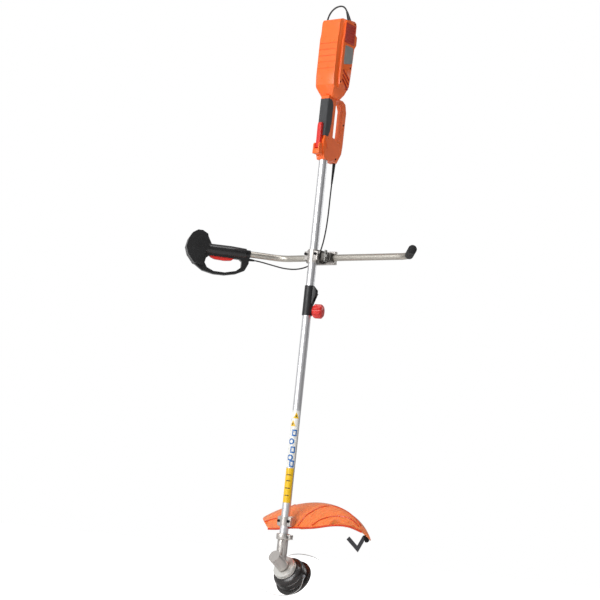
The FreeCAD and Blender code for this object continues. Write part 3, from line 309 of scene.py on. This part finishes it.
# %% [markdown]
# ## Softening the moulded and cast parts
#
# No real moulding has knife edges: the tool is radiused so that the plastic flows and the
# shell doesn't crack. The part's own mesh is copied, its loose triangles are merged, flat
# areas become single faces, and then the long sharp edges are bevelled.


# %% Soften
def new_piece(name, mesh_or_bm, body, material, smooth=True):
    """Links a finished mesh as a piece that rides on a body."""
    mesh = mesh_or_bm
    if isinstance(mesh_or_bm, bmesh.types.BMesh):
        mesh = bpy.data.meshes.new(name)
        mesh_or_bm.to_mesh(mesh)
        mesh_or_bm.free()
    if smooth:
        mesh.shade_smooth()
        mesh.set_sharp_from_angle(angle=math.radians(35.0))
    piece = bpy.data.objects.new(name, mesh)
    bpy.context.scene.collection.objects.link(piece)
    paint(piece, material)
    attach(piece, body)
    return piece


def merged_copy(label):
    """The part's mesh as a bmesh with its triangles joined into faces."""
    bm = bmesh.new()
    bm.from_mesh(bpy.data.objects[label].data)
    bmesh.ops.remove_doubles(bm, verts=bm.verts, dist=0.01 * MM)
    bmesh.ops.dissolve_limit(bm, angle_limit=math.radians(1.0), verts=bm.verts, edges=bm.edges)
    return bm


def round_edges(bm, width_mm, skip=None):
    """Rounds the long edges that turn by more than 32 degrees, except those to skip."""
    edges = [e for e in bm.edges if len(e.link_faces) == 2
             and e.calc_face_angle(0.0) > math.radians(32.0)
             and e.calc_length() > 3.0 * width_mm * MM
             and not (skip and skip(e))]
    bmesh.ops.bevel(bm, geom=edges, offset=width_mm * MM, offset_type="OFFSET",
                    affect="EDGES", segments=3, profile=0.5, clamp_overlap=True, material=-1)
    return len(edges)


def round_corners(bm, axis, width_mm, longer_than=4.0):
    """Rounds the outline's corners: the edges that run along one axis, with a wider radius."""
    way = Vector(axis).normalized()
    corners = [e for e in bm.edges if len(e.link_faces) == 2
               and e.calc_face_angle(0.0) > math.radians(12.0)
               and e.calc_length() > longer_than * MM
               and abs((e.verts[1].co - e.verts[0].co).normalized().dot(way)) > 0.995]
    bmesh.ops.bevel(bm, geom=corners, offset=width_mm * MM, offset_type="OFFSET",
                    affect="EDGES", segments=4, profile=0.5, clamp_overlap=True, material=-1)


def soften(label, body, material, width_mm, skip=None, cutters=(), corners=None):
    """Replaces a part with a copy that has rounded edges and, if asked, extra cuts."""
    bm = merged_copy(label)
    if corners:
        round_corners(bm, *corners)
    if cutters:
        bm = cut_away(bm, cutters)
    count = round_edges(bm, width_mm, skip)
    piece = new_piece(label + "_moulding", bm, body, material)
    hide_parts(label)
    print(label, "edges rounded:", count)
    return piece


def cut_away(bm, cutters):
    """Cuts blocks out of a mesh with the Boolean modifier, and takes the result back."""
    solid = bpy.data.meshes.new("solid")
    bm.to_mesh(solid)
    bm.free()
    whole = bpy.data.objects.new("solid", solid)
    knife_mesh = bpy.data.meshes.new("knife")
    cutters[0].to_mesh(knife_mesh)
    knife = bpy.data.objects.new("knife", knife_mesh)
    for thing in (whole, knife):
        bpy.context.scene.collection.objects.link(thing)
    cut = whole.modifiers.new("cut", "BOOLEAN")
    cut.operation, cut.solver, cut.object = "DIFFERENCE", "EXACT", knife
    graph = bpy.context.evaluated_depsgraph_get()
    result = bmesh.new()
    result.from_mesh(whole.evaluated_get(graph).to_mesh())
    for thing in (whole, knife):
        bpy.data.objects.remove(thing)
    bmesh.ops.remove_doubles(result, verts=result.verts, dist=0.01 * MM)
    return result


def bars(specs):
    """One mesh of boxes, each (centre, size, turn about X in degrees), in mm."""
    bm = bmesh.new()
    for centre, size, turn in specs:
        made = bmesh.ops.create_cube(bm, size=1.0)["verts"]
        bmesh.ops.scale(bm, vec=[v * MM for v in size], verts=made)
        bmesh.ops.rotate(bm, cent=(0, 0, 0), verts=made,
                         matrix=Matrix.Rotation(math.radians(turn), 3, "X"))
        bmesh.ops.translate(bm, vec=[v * MM for v in centre], verts=made)
    return bm


# %% [markdown]
# ## Rear housing
#
# The motor housing and the loop handle are one clamshell of two halves, screwed together on
# the middle plane. Both halves get rounded edges, and cooling slots are cut through the side
# walls below the plate, as slanted bars so that rain runs off.

# %% Housing halves
SIDE_X, FRONT_Y = 42.0, -36.0
SLOT_Z = (582.0, 567.0, 552.0)
STEP_Z = (668.0, 648.0, 628.0, 608.0, 588.0)
SLOT_TILT = -38.0
SLOT_WIDE = 8.0


def housing_cuts(side):
    """Slanted cooling slots in the side wall and shallow steps across the front."""
    specs = [((side * SIDE_X, 16.0, z - 6.0), (9.0, 44.0, SLOT_WIDE), SLOT_TILT) for z in SLOT_Z]
    specs += [((side * 17.0, FRONT_Y, z), (33.0, 3.0, 2.8), 0.0) for z in STEP_Z]
    return [bars(specs)]


def at_seam(edge):
    return all(abs(v.co.x) < 0.2 * MM for v in edge.verts)


for side, label in ((-1, "rear_housing_left"), (1, "rear_housing_right")):
    soften(label, "trimmer", "orange_abs", 1.4, at_seam,
           housing_cuts(side), ((1, 0, 0), 4.0))
soften("air_grille", "trimmer", "dark_red_abs_and_slot_shade", 0.4)
soften("soft_grip_back", "trimmer", "grey_tpe", 0.9)

# %% [markdown]
# Each slot floor gets a dark red sheet, painted shade for the depth of the slot. On the right
# side there is a plain grey plate where such a tool has its data plate, left blank here.

# %% Painted slot shade and blank plate
SLOT_SHADE_DEPTH = 2.6

for side, name in ((1, "right"), (-1, "left")):
    # Dark red sheets at the slot floors: painted shade for the depth of the slots.
    slot_shade_sheets = bars([((side * (SIDE_X - SLOT_SHADE_DEPTH), 16.0, z - 6.0),
                     (1.0, 43.6, SLOT_WIDE - 0.2), SLOT_TILT) for z in SLOT_Z])
    new_piece("dust_screen_" + name, slot_shade_sheets, "trimmer", "dark_red_abs_and_slot_shade", False)


def side_plate(name, corners, x, thick, material, round_mm):
    """A flat plate on the side wall from its corners (y, z), with rounded corners."""
    bm = bmesh.new()
    face = bm.faces.new([bm.verts.new((x * MM, y * MM, z * MM)) for y, z in corners])
    out = bmesh.ops.extrude_face_region(bm, geom=[face])["geom"]
    moved = [v for v in out if isinstance(v, bmesh.types.BMVert)]
    bmesh.ops.translate(bm, vec=(thick * MM, 0, 0), verts=moved)
    bmesh.ops.recalc_face_normals(bm, faces=bm.faces)
    across = [e for e in bm.edges if abs(e.verts[0].co.x - e.verts[1].co.x) > 0.1 * MM]
    bmesh.ops.bevel(bm, geom=across, offset=round_mm * MM, offset_type="OFFSET",
                    affect="EDGES", segments=4, profile=0.5, material=-1)
    return new_piece(name, bm, "trimmer", material)


side_plate("blank_plate", [(-3.0, 606.0), (40.0, 618.0), (38.0, 668.0), (-3.0, 668.0)],
           SIDE_X - 0.3, 0.9, "grey_plate", 4.0)

# %% [markdown]
# The soft front skin is over-moulded: it wraps round the front of the grip to the sides and
# ends in a curved edge, so that the hand feels no step.


# %% Soft front skin
def grip_skin():
    """A side outline pulled across the grip, with wide rounding at its front corners."""
    side = [(-26.8, 376.0), (-9.0, 376.0), (-2.5, 396.0), (1.0, 420.0), (1.0, 476.0),
            (-3.0, 488.0), (-10.0, 493.0), (-26.8, 493.0)]
    half = 16.3
    bm = bmesh.new()
    face = bm.faces.new([bm.verts.new((-half * MM, y * MM, z * MM)) for y, z in side])
    out = bmesh.ops.extrude_face_region(bm, geom=[face])["geom"]
    moved = [v for v in out if isinstance(v, bmesh.types.BMVert)]
    bmesh.ops.translate(bm, vec=(2 * half * MM, 0, 0), verts=moved)
    bmesh.ops.recalc_face_normals(bm, faces=bm.faces)
    front = [e for e in bm.edges if all(v.co.y < -26.0 * MM for v in e.verts)
             and abs(e.verts[0].co.z - e.verts[1].co.z) > 50.0 * MM]
    bmesh.ops.bevel(bm, geom=front, offset=5.0 * MM, offset_type="OFFSET", affect="EDGES",
                    segments=6, profile=0.5, material=-1)
    round_edges(bm, 0.7)
    return bm


skin = new_piece("front_grip_skin", grip_skin(), "trimmer", "grey_tpe")
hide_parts("soft_grip_front")
ridges = bars([((side * 15.2, -17.0 + 5.0 * n, 352.0), (1.6, 1.8, 34.0), 24.0)
               for n in (0, 1) for side in (1, -1)])
round_edges(ridges, 0.4)
new_piece("grip_ridges", ridges, "trimmer", "orange_abs")
soften("safety_lever", "lever", "red_abs", 1.2, corners=((1, 0, 0), 2.0))
pivot_block = bars([((0.0, -32.5, 322.0), (25.0, 22.0, 13.0), 0.0),
                    ((10.0, -36.0, 336.0), (4.6, 15.0, 22.0), 0.0),
                    ((-10.0, -36.0, 336.0), (4.6, 15.0, 22.0), 0.0)])
round_edges(pivot_block, 1.4)
new_piece("lever_pivot_block", pivot_block, "trimmer", "orange_abs")

# %% [markdown]
# ## Handlebar clamp
#
# Castings hold the bar to the tube: a darker saddle between a front and a rear cap, drawn up
# by screws and one wing screw. Castings have no sharp edges, so each edge is eased.

# %% Clamp
soften("bar_bracket", "trimmer", "dark_cast_aluminium", 0.8)
soften("bracket_front_cap", "trimmer", "cast_aluminium", 0.8)
soften("bracket_rear_cap", "trimmer", "cast_aluminium", 0.8)
soften("wing_screw", "wing", "grey_zinc_steel", 0.8)
soften("right_grip", "handlebar_assembly", "black_rubber", 0.8)

# %% [markdown]
# ## Switch grip
#
# Two glass-filled nylon halves make the handle, the bow under the fingers and the lobe that
# stops the hand at the outer end. A bevel along the bow's direction rounds the outline, and a
# wide one rolls the lobe's rim over. The red trigger hangs in the bow and is its own piece.

# %% Switch grip
THROUGH_BOW = (0.768, -0.64, 0.0)
BAR_BEND = Vector((-143.0, 28.0, 0.0)) * MM
LOBE_HALF_WIDTH = 19.0
OUTLINE_ROUND, LOBE_ROUND, EDGE_ROUND = 7.0, 8.5, 1.3


def grip_half(label):
    """A grip shell with its outline rounded, and its lobe rounded over to fill the palm."""
    bm = merged_copy(label)
    round_corners(bm, THROUGH_BOW, OUTLINE_ROUND)
    way = Vector(THROUGH_BOW).normalized()
    far = (LOBE_HALF_WIDTH - 0.3) * MM
    lobe = [e for e in bm.edges if len(e.link_faces) == 2
            and e.calc_face_angle(0.0) > math.radians(32.0)
            and all(abs((v.co - BAR_BEND).dot(way)) > far for v in e.verts)]
    bmesh.ops.bevel(bm, geom=lobe, offset=LOBE_ROUND * MM, offset_type="OFFSET",
                    affect="EDGES", segments=6, profile=0.5, clamp_overlap=True,
                    material=-1)
    print(label, "lobe edges rounded:", len(lobe))
    round_edges(bm, EDGE_ROUND)
    piece = new_piece(label + "_moulding", bm, "handlebar_assembly", "gloss_black_nylon")
    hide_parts(label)


for label in ("switch_grip_front_shell", "switch_grip_back_shell"):
    grip_half(label)
soften("throttle_trigger", "trigger", "red_abs", 1.0,
       corners=(THROUGH_BOW, 3.0))

# %% [markdown]
# ## Coupler
#
# The sleeve joins the two tubes. The red knob clamps it and the pin of the latch locks it. Two
# gusset plates stand beside the latch so that it isn't knocked open.

# %% Coupler
soften("coupler_sleeve", "trimmer", "black_glass_nylon", 0.8)
soften("coupler_knob", "knob", "red_abs", 0.8)
soften("latch_button", "latch", "black_glass_nylon", 0.6)
LATCH_AZIMUTH = math.radians(20.0)
CHEEK_SIDE = [(13.0, -92.0), (24.0, -104.0), (24.0, -120.0), (13.0, -152.0)]
CHEEK_OFF, CHEEK_THICK = 8.6, 2.6


def latch_cheeks():
    """Two gusset plates that guard the latch button, one on each side of it."""
    out = Vector((math.cos(LATCH_AZIMUTH), math.sin(LATCH_AZIMUTH), 0.0))
    across = Vector((-out.y, out.x, 0.0))
    bm = bmesh.new()
    for start in (CHEEK_OFF, -CHEEK_OFF - CHEEK_THICK):
        face = bm.faces.new([bm.verts.new((radial * out + start * across
                                           + Vector((0, 0, z))) * MM)
                             for radial, z in CHEEK_SIDE])
        drawn = bmesh.ops.extrude_face_region(bm, geom=[face])["geom"]
        moved = [v for v in drawn if isinstance(v, bmesh.types.BMVert)]
        bmesh.ops.translate(bm, vec=CHEEK_THICK * MM * across, verts=moved)
    bmesh.ops.recalc_face_normals(bm, faces=bm.faces)
    round_edges(bm, 0.6)
    return bm


new_piece("latch_cheeks", latch_cheeks(), "trimmer", "black_glass_nylon")

# %% [markdown]
# ## Labels on the tube
#
# Two printed films are wrapped on the lower tube: a white one with simple yellow triangles and
# blue discs and squares, and a yellow one. They carry no words or signs with a meaning.


# %% Tube labels
TUBE_RADIUS = 13.0
LABEL_AZIMUTH = -68.0


def film(name, shape, height, thick, material):
    """A flat shape (mm round the tube, mm up) bent onto the tube, as a thin closed film."""
    bm = bmesh.new()
    bm.faces.new([bm.verts.new((x * MM, 0.0, z * MM)) for x, z in shape])
    for cut in range(-11, 12):
        bmesh.ops.bisect_plane(bm, geom=bm.verts[:] + bm.edges[:] + bm.faces[:],
                               plane_co=(cut * 1.6 * MM, 0, 0), plane_no=(1, 0, 0))
    out = bmesh.ops.extrude_face_region(bm, geom=bm.faces[:])["geom"]
    outer = [v for v in out if isinstance(v, bmesh.types.BMVert)]
    bmesh.ops.translate(bm, vec=(0, thick * MM, 0), verts=outer)
    for vert in bm.verts:
        radius = TUBE_RADIUS * MM + 0.02 * MM + vert.co.y
        turn = math.radians(LABEL_AZIMUTH) + vert.co.x / (TUBE_RADIUS * MM)
        vert.co = (radius * math.cos(turn), radius * math.sin(turn), vert.co.z + height * MM)
    bmesh.ops.recalc_face_normals(bm, faces=bm.faces)
    return new_piece(name, bm, "lower_unit", material)


def patch(half_wide, half_high):
    return [(-half_wide, -half_high), (half_wide, -half_high), (half_wide, half_high),
            (-half_wide, half_high)]


def disc(radius):
    return [(radius * math.cos(math.radians(a)), radius * math.sin(math.radians(a)))
            for a in range(0, 360, 20)]


film("label_white_film", patch(15.0, 86.0), -563.0, 0.12, "label_white")
film("label_yellow_film", patch(15.0, 52.0), -704.0, 0.12, "label_yellow")
for number, (height, shift) in enumerate(((-492.0, 4.0), (-516.0, -4.0))):
    film("label_triangle_%d" % (number + 1), [(shift - 9, -9), (shift + 9, -9), (shift, 10)],
         height, 0.2, "label_yellow")
    film("label_spot_%d" % (number + 1), [(x * 0.3 + shift, z * 0.5 - 2) for x, z in disc(7)],
         height, 0.28, "black_pvc")
for number, (height, shift) in enumerate(((-545.0, 4.0), (-571.0, -3.0), (-596.0, 4.0),
                                          (-620.0, -2.0), (-638.0, 5.0))):
    blue = disc(9.5) if number % 2 else patch(7.5, 10.0)
    gap = disc(5.0) if number % 2 else patch(3.5, 5.5)
    for kind, shape, thick, material in (("mark", blue, 0.2, "label_blue"),
                                         ("gap", gap, 0.28, "label_white")):
        film("label_%s_%d" % (kind, number + 1), [(x + shift, z) for x, z in shape], height,
             thick, material)
for number, height in enumerate((-672.0, -690.0, -712.0, -734.0)):
    film("label_bar_%d" % (number + 1), patch(8.0 - 2 * (number % 2), 1.4), height, 0.2,
         "black_pvc")

# %% [markdown]
# ## Cutting head and guard
#
# The cast gear case turns the drive by 60 degrees to the head. The guard is clamped to the
# tube above it. Its outline is rounded along the direction that the head points in.

# %% Head and guard
soften("gear_case", "lower_unit", "cast_aluminium", 0.8)
soften("guard_clamp_block", "lower_unit", "cast_aluminium", 0.8)
soften("guard_clamp_strap", "lower_unit", "cast_aluminium", 0.8)
HEAD_CROSS_Z = -937.0
TILT = math.radians(60.0)
ALONG_HEAD = (0.0, math.sin(TILT), -math.cos(TILT))
soften("guard", "lower_unit", "orange_polypropylene", 0.8,
       corners=(ALONG_HEAD, 8.0, 2.0))

# %% [markdown]
# The guard is thin, so ribs stiffen it: two long curved ones that sweep outwards, a lip along
# the open edge and a fan of fine radial ones. Each is a bead that follows the dished surface.


# %% Guard ribs
GUARD_CENTRE = (38.0, 57.0)
GUARD_PROFILE = [(156.0, -47.0), (202.5, -38.0), (247.0, -22.0), (273.0, -8.0), (285.0, 6.0),
                 (289.0, 28.0)]


def head_point(x, y, along):
    """A point of the tilted head in the frame of the whole trimmer, in millimetres."""
    return (x, -math.cos(TILT) * y + math.sin(TILT) * along,
            HEAD_CROSS_Z - math.sin(TILT) * y - math.cos(TILT) * along)


def on_guard(angle, radius):
    """A point of the guard's outer surface at an angle and radius about its own centre."""
    for (r0, s0), (r1, s1) in zip(GUARD_PROFILE, GUARD_PROFILE[1:]):
        if radius <= r1:
            break
    along = s0 + (s1 - s0) * (radius - r0) / (r1 - r0)
    turn = math.radians(angle)
    return head_point(GUARD_CENTRE[0] + radius * math.cos(turn),
                      GUARD_CENTRE[1] + radius * math.sin(turn), along)


def bead(name, places, radius_mm):
    """A round bead along places in millimetres, as a mesh."""
    data = bpy.data.curves.new(name, "CURVE")
    data.dimensions = "3D"
    line = data.splines.new("NURBS")
    line.points.add(len(places) - 1)
    for point, place in zip(line.points, places):
        point.co = (place[0] * MM, place[1] * MM, place[2] * MM, 1.0)
    line.order_u = 3
    line.use_endpoint_u = True
    line.resolution_u = 6
    data.bevel_depth = radius_mm * MM
    data.bevel_resolution = 2
    data.use_fill_caps = True
    piece = bpy.data.objects.new(name, data)
    bpy.context.scene.collection.objects.link(piece)
    bpy.context.view_layer.update()
    mesh = bpy.data.meshes.new_from_object(piece)
    bpy.data.objects.remove(piece)
    return mesh


def gathered(name, meshes, body, material):
    """Joins meshes into one piece."""
    bm = bmesh.new()
    for mesh in meshes:
        bm.from_mesh(mesh)
    bmesh.ops.remove_doubles(bm, verts=bm.verts, dist=0.01 * MM)
    bmesh.ops.recalc_face_normals(bm, faces=bm.faces)
    return new_piece(name, bm, body, material)


LONG_RIBS = [
    [(-89.3, 164), (-89.2, 190), (-88.4, 217), (-86.1, 236), (-84.0, 255), (-80.7, 270),
     (-76.0, 280), (-68.0, 284), (-58.0, 284), (-50.0, 284)],
    [(-74.0, 180), (-72.5, 205), (-70.8, 221), (-67.6, 238), (-64.0, 254), (-59.0, 270),
     (-53.9, 275), (-48.7, 277)],
    [(-129.5, 230), (-124.6, 225), (-117.6, 217), (-112.0, 205)],
    [(-109.0, 284), (-112.0, 262), (-114.0, 235), (-112.0, 200), (-108.0, 172)]]
OPEN_EDGE = [(-126.0, 181), (-118.0, 165), (-108.0, 158), (-95.0, 157), (-82.0, 160),
             (-69.0, 176), (-59.2, 216), (-52.2, 248), (-46.5, 267), (-43.2, 278)]
ribs = [bead("rib", [on_guard(*p) for p in run], 2.3) for run in LONG_RIBS]
ribs.append(bead("lip", [on_guard(*p) for p in OPEN_EDGE], 3.0))
FINE_COUNT, FINE_FIRST, FINE_STEP = 14, -104.0, 4.1
FINE_INNER, FINE_OUTER, FINE_THICK = 178.0, 278.0, 0.55
CUT_BACK_FROM, CUT_BACK_RATE = -70.0, 3.4
fine_ribs = []
for step in range(FINE_COUNT):
    angle = FINE_FIRST + FINE_STEP * step
    inner = FINE_INNER
    if angle >= CUT_BACK_FROM:
        inner += CUT_BACK_RATE * (angle - CUT_BACK_FROM)
    fine_ribs.append(bead("fine", [on_guard(angle, inner + (FINE_OUTER - inner) * k / 4)
                                   for k in range(5)], FINE_THICK))
# The long ribs and the lip get the darker orange: painted shade along them.
gathered("guard_ribs", ribs, "lower_unit", "orange_polypropylene_rib_shade")
gathered("guard_fine_ribs", fine_ribs, "lower_unit", "orange_polypropylene")

# %% [markdown]
# The blade that trims the line to length is a bent steel strip. This block is the foot by
# which it is screwed to the guard's rim.

# %% Cutter bracket
cutter_root = head_point(243.0, -131.0, 27.0)
bracket = bmesh.new()
made = bmesh.ops.create_cube(bracket, size=1.0)["verts"]
bmesh.ops.scale(bracket, vec=(9.0 * MM, 22.0 * MM, 12.0 * MM), verts=made)
bmesh.ops.rotate(bracket, cent=(0, 0, 0), matrix=Matrix.Rotation(-TILT, 3, "X"), verts=made)
bmesh.ops.translate(bracket, vec=[v * MM for v in cutter_root], verts=made)
round_edges(bracket, 1.2)
new_piece("cutter_bracket", bracket, "lower_unit", "black_oxide_steel")
soften("head_cup", "head", "black_polyamide_head", 0.8)

# %% [markdown]
# The head is moulded with raised bands that stiffen its wall, and the gear case has a collar
# with a pinch lug where it grips the tube. Both are turned shapes, so they are spun.


# %% Bands and collar
def spun(name, outline, centre, axis, body, material):
    """Spins a closed outline of (radius, along) in mm about an axis through a centre."""
    bm = bmesh.new()
    verts = [bm.verts.new((radius * MM, 0.0, along * MM)) for radius, along in outline]
    rim = [bm.edges.new((a, b)) for a, b in zip(verts, verts[1:] + verts[:1])]
    bmesh.ops.spin(bm, geom=verts + rim, cent=(0, 0, 0), axis=(0, 0, 1),
                   angle=math.radians(360.0), steps=72, use_merge=True)
    bmesh.ops.remove_doubles(bm, verts=bm.verts, dist=0.001 * MM)
    bmesh.ops.recalc_face_normals(bm, faces=bm.faces)
    turn = Vector((0, 0, 1)).rotation_difference(Vector(axis)).to_matrix().to_4x4()
    place = Matrix.Translation(Vector(centre) * MM) @ turn
    bmesh.ops.transform(bm, matrix=place, verts=bm.verts)
    return new_piece(name, bm, body, material)


CROSS = (0.0, 0.0, HEAD_CROSS_Z)
for number, along in enumerate((52.0, 70.0)):
    spun("head_band_%d" % (number + 1),
         [(49.5, along), (50.9, along + 0.6), (50.9, along + 2.4), (49.5, along + 3.0)],
         CROSS, ALONG_HEAD, "head", "black_polyamide_head")
spun("bump_knob_ring", [(40.0, 88.6), (42.6, 88.0), (43.4, 89.6), (41.0, 90.4)],
     CROSS, ALONG_HEAD, "bump_foot", "black_polyamide_head")
spun("gear_case_collar", [(17.0, -867.0), (20.6, -865.5), (21.2, -863.5), (21.2, -851.5),
                          (20.6, -849.5), (17.0, -848.0)],
     (0, 0, 0), (0, 0, 1), "lower_unit", "cast_aluminium")
lug = bars([((25.0, -4.2, -857.5), (13.0, 6.4, 14.0), 0.0),
            ((25.0, 4.2, -857.5), (13.0, 6.4, 14.0), 0.0)])
round_edges(lug, 1.2)
new_piece("gear_case_lug", lug, "lower_unit", "cast_aluminium")
soften("bump_knob", "bump_foot", "black_polyamide_head", 0.8)

# %% [markdown]
# ## Cords
#
# A cord is a smooth curve through a few points with a round section. It runs through the
# same points as the solid cord in the model, so it meets the same reliefs and boots.


# %% Cord helpers
def cord_curve(name, route_mm, radius_mm):
    """A smooth curve through the run of a cord, as thick as the cord."""
    data = bpy.data.curves.new(name, "CURVE")
    data.dimensions = "3D"
    line = data.splines.new("NURBS")
    line.points.add(len(route_mm) - 1)
    for point, place in zip(line.points, route_mm):
        point.co = (place[0] * MM, place[1] * MM, place[2] * MM, 1.0)
    line.order_u = 3
    line.use_endpoint_u = True
    line.resolution_u = 12
    data.bevel_depth = radius_mm * MM
    data.bevel_resolution = 4
    data.use_fill_caps = True
    piece = bpy.data.objects.new(name, data)
    bpy.context.scene.collection.objects.link(piece)
    return piece


def cord_line(name, route_mm):
    """The points that a thin curve along the route passes through, in order."""
    bare = cord_curve(name + "_line", route_mm, 0.0)
    bpy.context.view_layer.update()
    mesh = bpy.data.meshes.new_from_object(bare)
    points = [v.co.copy() for v in mesh.vertices]
    bpy.data.objects.remove(bare)
    return points


# %% [markdown]
# The mains lead loops over the top of the housing and hangs behind it to its plug. It has a
# PVC jacket 5.2 mm across and rides on the trimmer as a whole.

# %% Mains cord
MAINS_ROUTE = [(-1.0, 41.2, 792.0), (-7.5, 40.0, 805.5), (-22.0, 37.5, 813.0),
               (-41.0, 34.0, 809.0), (-57.0, 31.0, 795.0), (-66.5, 29.5, 773.0),
               (-68.5, 30.0, 742.0), (-65.0, 33.0, 706.0), (-62.5, 34.5, 669.0),
               (-62.5, 33.5, 635.0)]
mains = cord_curve("mains_lead", MAINS_ROUTE, 2.6)
mains.data.materials.append(bpy.data.materials["black_pvc"])
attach(mains, "trimmer")
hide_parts("mains_cord")

# %% [markdown]
# The switch cable runs from the housing to the boot of the switch grip. It is made as one
# plain mesh, not attached to a body.

# %% Switch cable
SWITCH_ROUTE = [(3.0, 50.0, 240.0), (2.0, 50.2, 196.0), (1.5, 51.0, 142.0),
                (-2.0, 52.0, 92.0), (-9.0, 53.0, 50.0), (-20.0, 53.0, 14.0),
                (-42.0, 46.0, -19.0), (-74.0, 27.0, -35.0), (-112.0, 9.0, -36.0),
                (-150.0, -8.0, -27.5), (-187.8, -25.8, -18.6), (-198.5, -38.6, -17.5)]
switch_line = cord_line("switch_cable", SWITCH_ROUTE)
switch_curve = cord_curve("switch_cable_curve", SWITCH_ROUTE, 2.2)
bpy.context.view_layer.update()
switch_mesh = bpy.data.meshes.new_from_object(switch_curve)
bpy.data.objects.remove(switch_curve)
switch_bm = bmesh.new()
switch_bm.from_mesh(switch_mesh)
bmesh.ops.remove_doubles(switch_bm, verts=switch_bm.verts, dist=0.01 * MM)
bmesh.ops.recalc_face_normals(switch_bm, faces=switch_bm.faces)
switch_bm.to_mesh(switch_mesh)
switch_bm.free()
switch_mesh.shade_smooth()
switch_cable = bpy.data.objects.new("switch_lead", switch_mesh)
bpy.context.scene.collection.objects.link(switch_cable)
paint(switch_cable, "black_pvc")
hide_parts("switch_cable")
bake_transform(switch_cable)

# %% [markdown]
# Two stiff nylon lines leave the head on opposite sides and trail behind its spin.

# %% Trimming lines
LINE_PLANE = 62.0
LINE_ROUTE = [(54.0, 3.0), (57.0, 20.0), (59.0, 40.0), (48.0, 60.0), (26.0, 71.0),
              (0.0, 74.5), (-28.0, 73.5), (-57.0, 68.5), (-84.0, 60.0)]


for number, side in ((1, 1), (2, -1)):
    route = [head_point(side * x, side * y, LINE_PLANE) for x, y in LINE_ROUTE]
    line = cord_curve("cutting_line_%d" % number, route, 1.0)
    line.data.materials.append(bpy.data.materials["clear_grey_nylon_line"])
    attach(line, "head")
    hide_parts("trim_line_%d" % number)

# %% [markdown]
# The tapered reliefs where the cords leave the housing are soft PVC.

# %% Strain reliefs
soften("mains_strain_relief", "trimmer", "black_pvc", 0.3)
soften("switch_cable_relief", "trimmer", "black_pvc", 0.3)

# %% [markdown]
# ## Floor and light
#
# A plain pale floor and large soft lights, as in a catalogue studio: one broad light on the
# left makes the front faces bright and leaves the right sides in gentle shade.


# %% Floor and light
def studio_air():
    """A white room for the camera; for the lighting, bright on the left and dim on the right."""
    world = bpy.data.worlds.new("studio")
    bpy.context.scene.world = world
    world.use_nodes = True
    tree = world.node_tree
    way = add(tree, "TexCoord").outputs["Generated"]
    left = add(tree, "VectorMath", {0: way, 1: tuple(0.35 * UP - RIGHT)},
               operation="DOT_PRODUCT").outputs["Value"]
    glow = spread(tree, left, 0.18, 0.80, -0.9, 0.9)
    light = add(tree, "Background", {"Strength": glow}).outputs["Background"]
    white = add(tree, "Background", {"Color": (1, 1, 1, 1), "Strength": 1.0})
    tree.nodes["Background"].inputs["Color"].default_value = (1, 1, 1, 1)
    seen = add(tree, "LightPath").outputs["Is Camera Ray"]
    mix = add(tree, "MixShader", {0: seen, 1: light, 2: white.outputs["Background"]})
    tree.links.new(mix.outputs["Shader"], tree.nodes["World Output"].inputs["Surface"])


def pale_floor():
    bpy.ops.mesh.primitive_plane_add(size=40.0, location=(0.0, 0.0, CAD_BOX[0][2] - 0.002))
    floor = bpy.context.object
    floor.name = "floor"
    tree, shader, where = finish("pale_floor", "F4F4F4", 0.9)
    shader.inputs["Emission Color"].default_value = (1, 1, 1, 1)
    seen = add(tree, "LightPath").outputs["Is Camera Ray"]
    tree.links.new(seen, shader.inputs["Emission Strength"])
    floor.data.materials.append(bpy.data.materials["pale_floor"])


def soft_light(name, offset, size, power):
    """A square light that looks at the middle of the trimmer."""
    data = bpy.data.lights.new(name, "AREA")
    data.size = size
    data.energy = power
    light = bpy.data.objects.new(name, data)
    bpy.context.scene.collection.objects.link(light)
    place = LOOK_AT + offset[0] * RIGHT + offset[1] * UP + offset[2] * TOWARDS
    light.location = place
    light.rotation_euler = (LOOK_AT - place).to_track_quat("-Z", "Y").to_euler()


bpy.context.scene.view_settings.view_transform = "Standard"
studio_air()
pale_floor()
soft_light("key_light", (-2.6, 1.6, 2.6), 2.4, 100.0)
soft_light("top_light", (0.3, 3.2, 0.6), 1.6, 25.0)
soft_light("rim_light", (2.6, 0.4, -1.6), 1.2, 8.0)
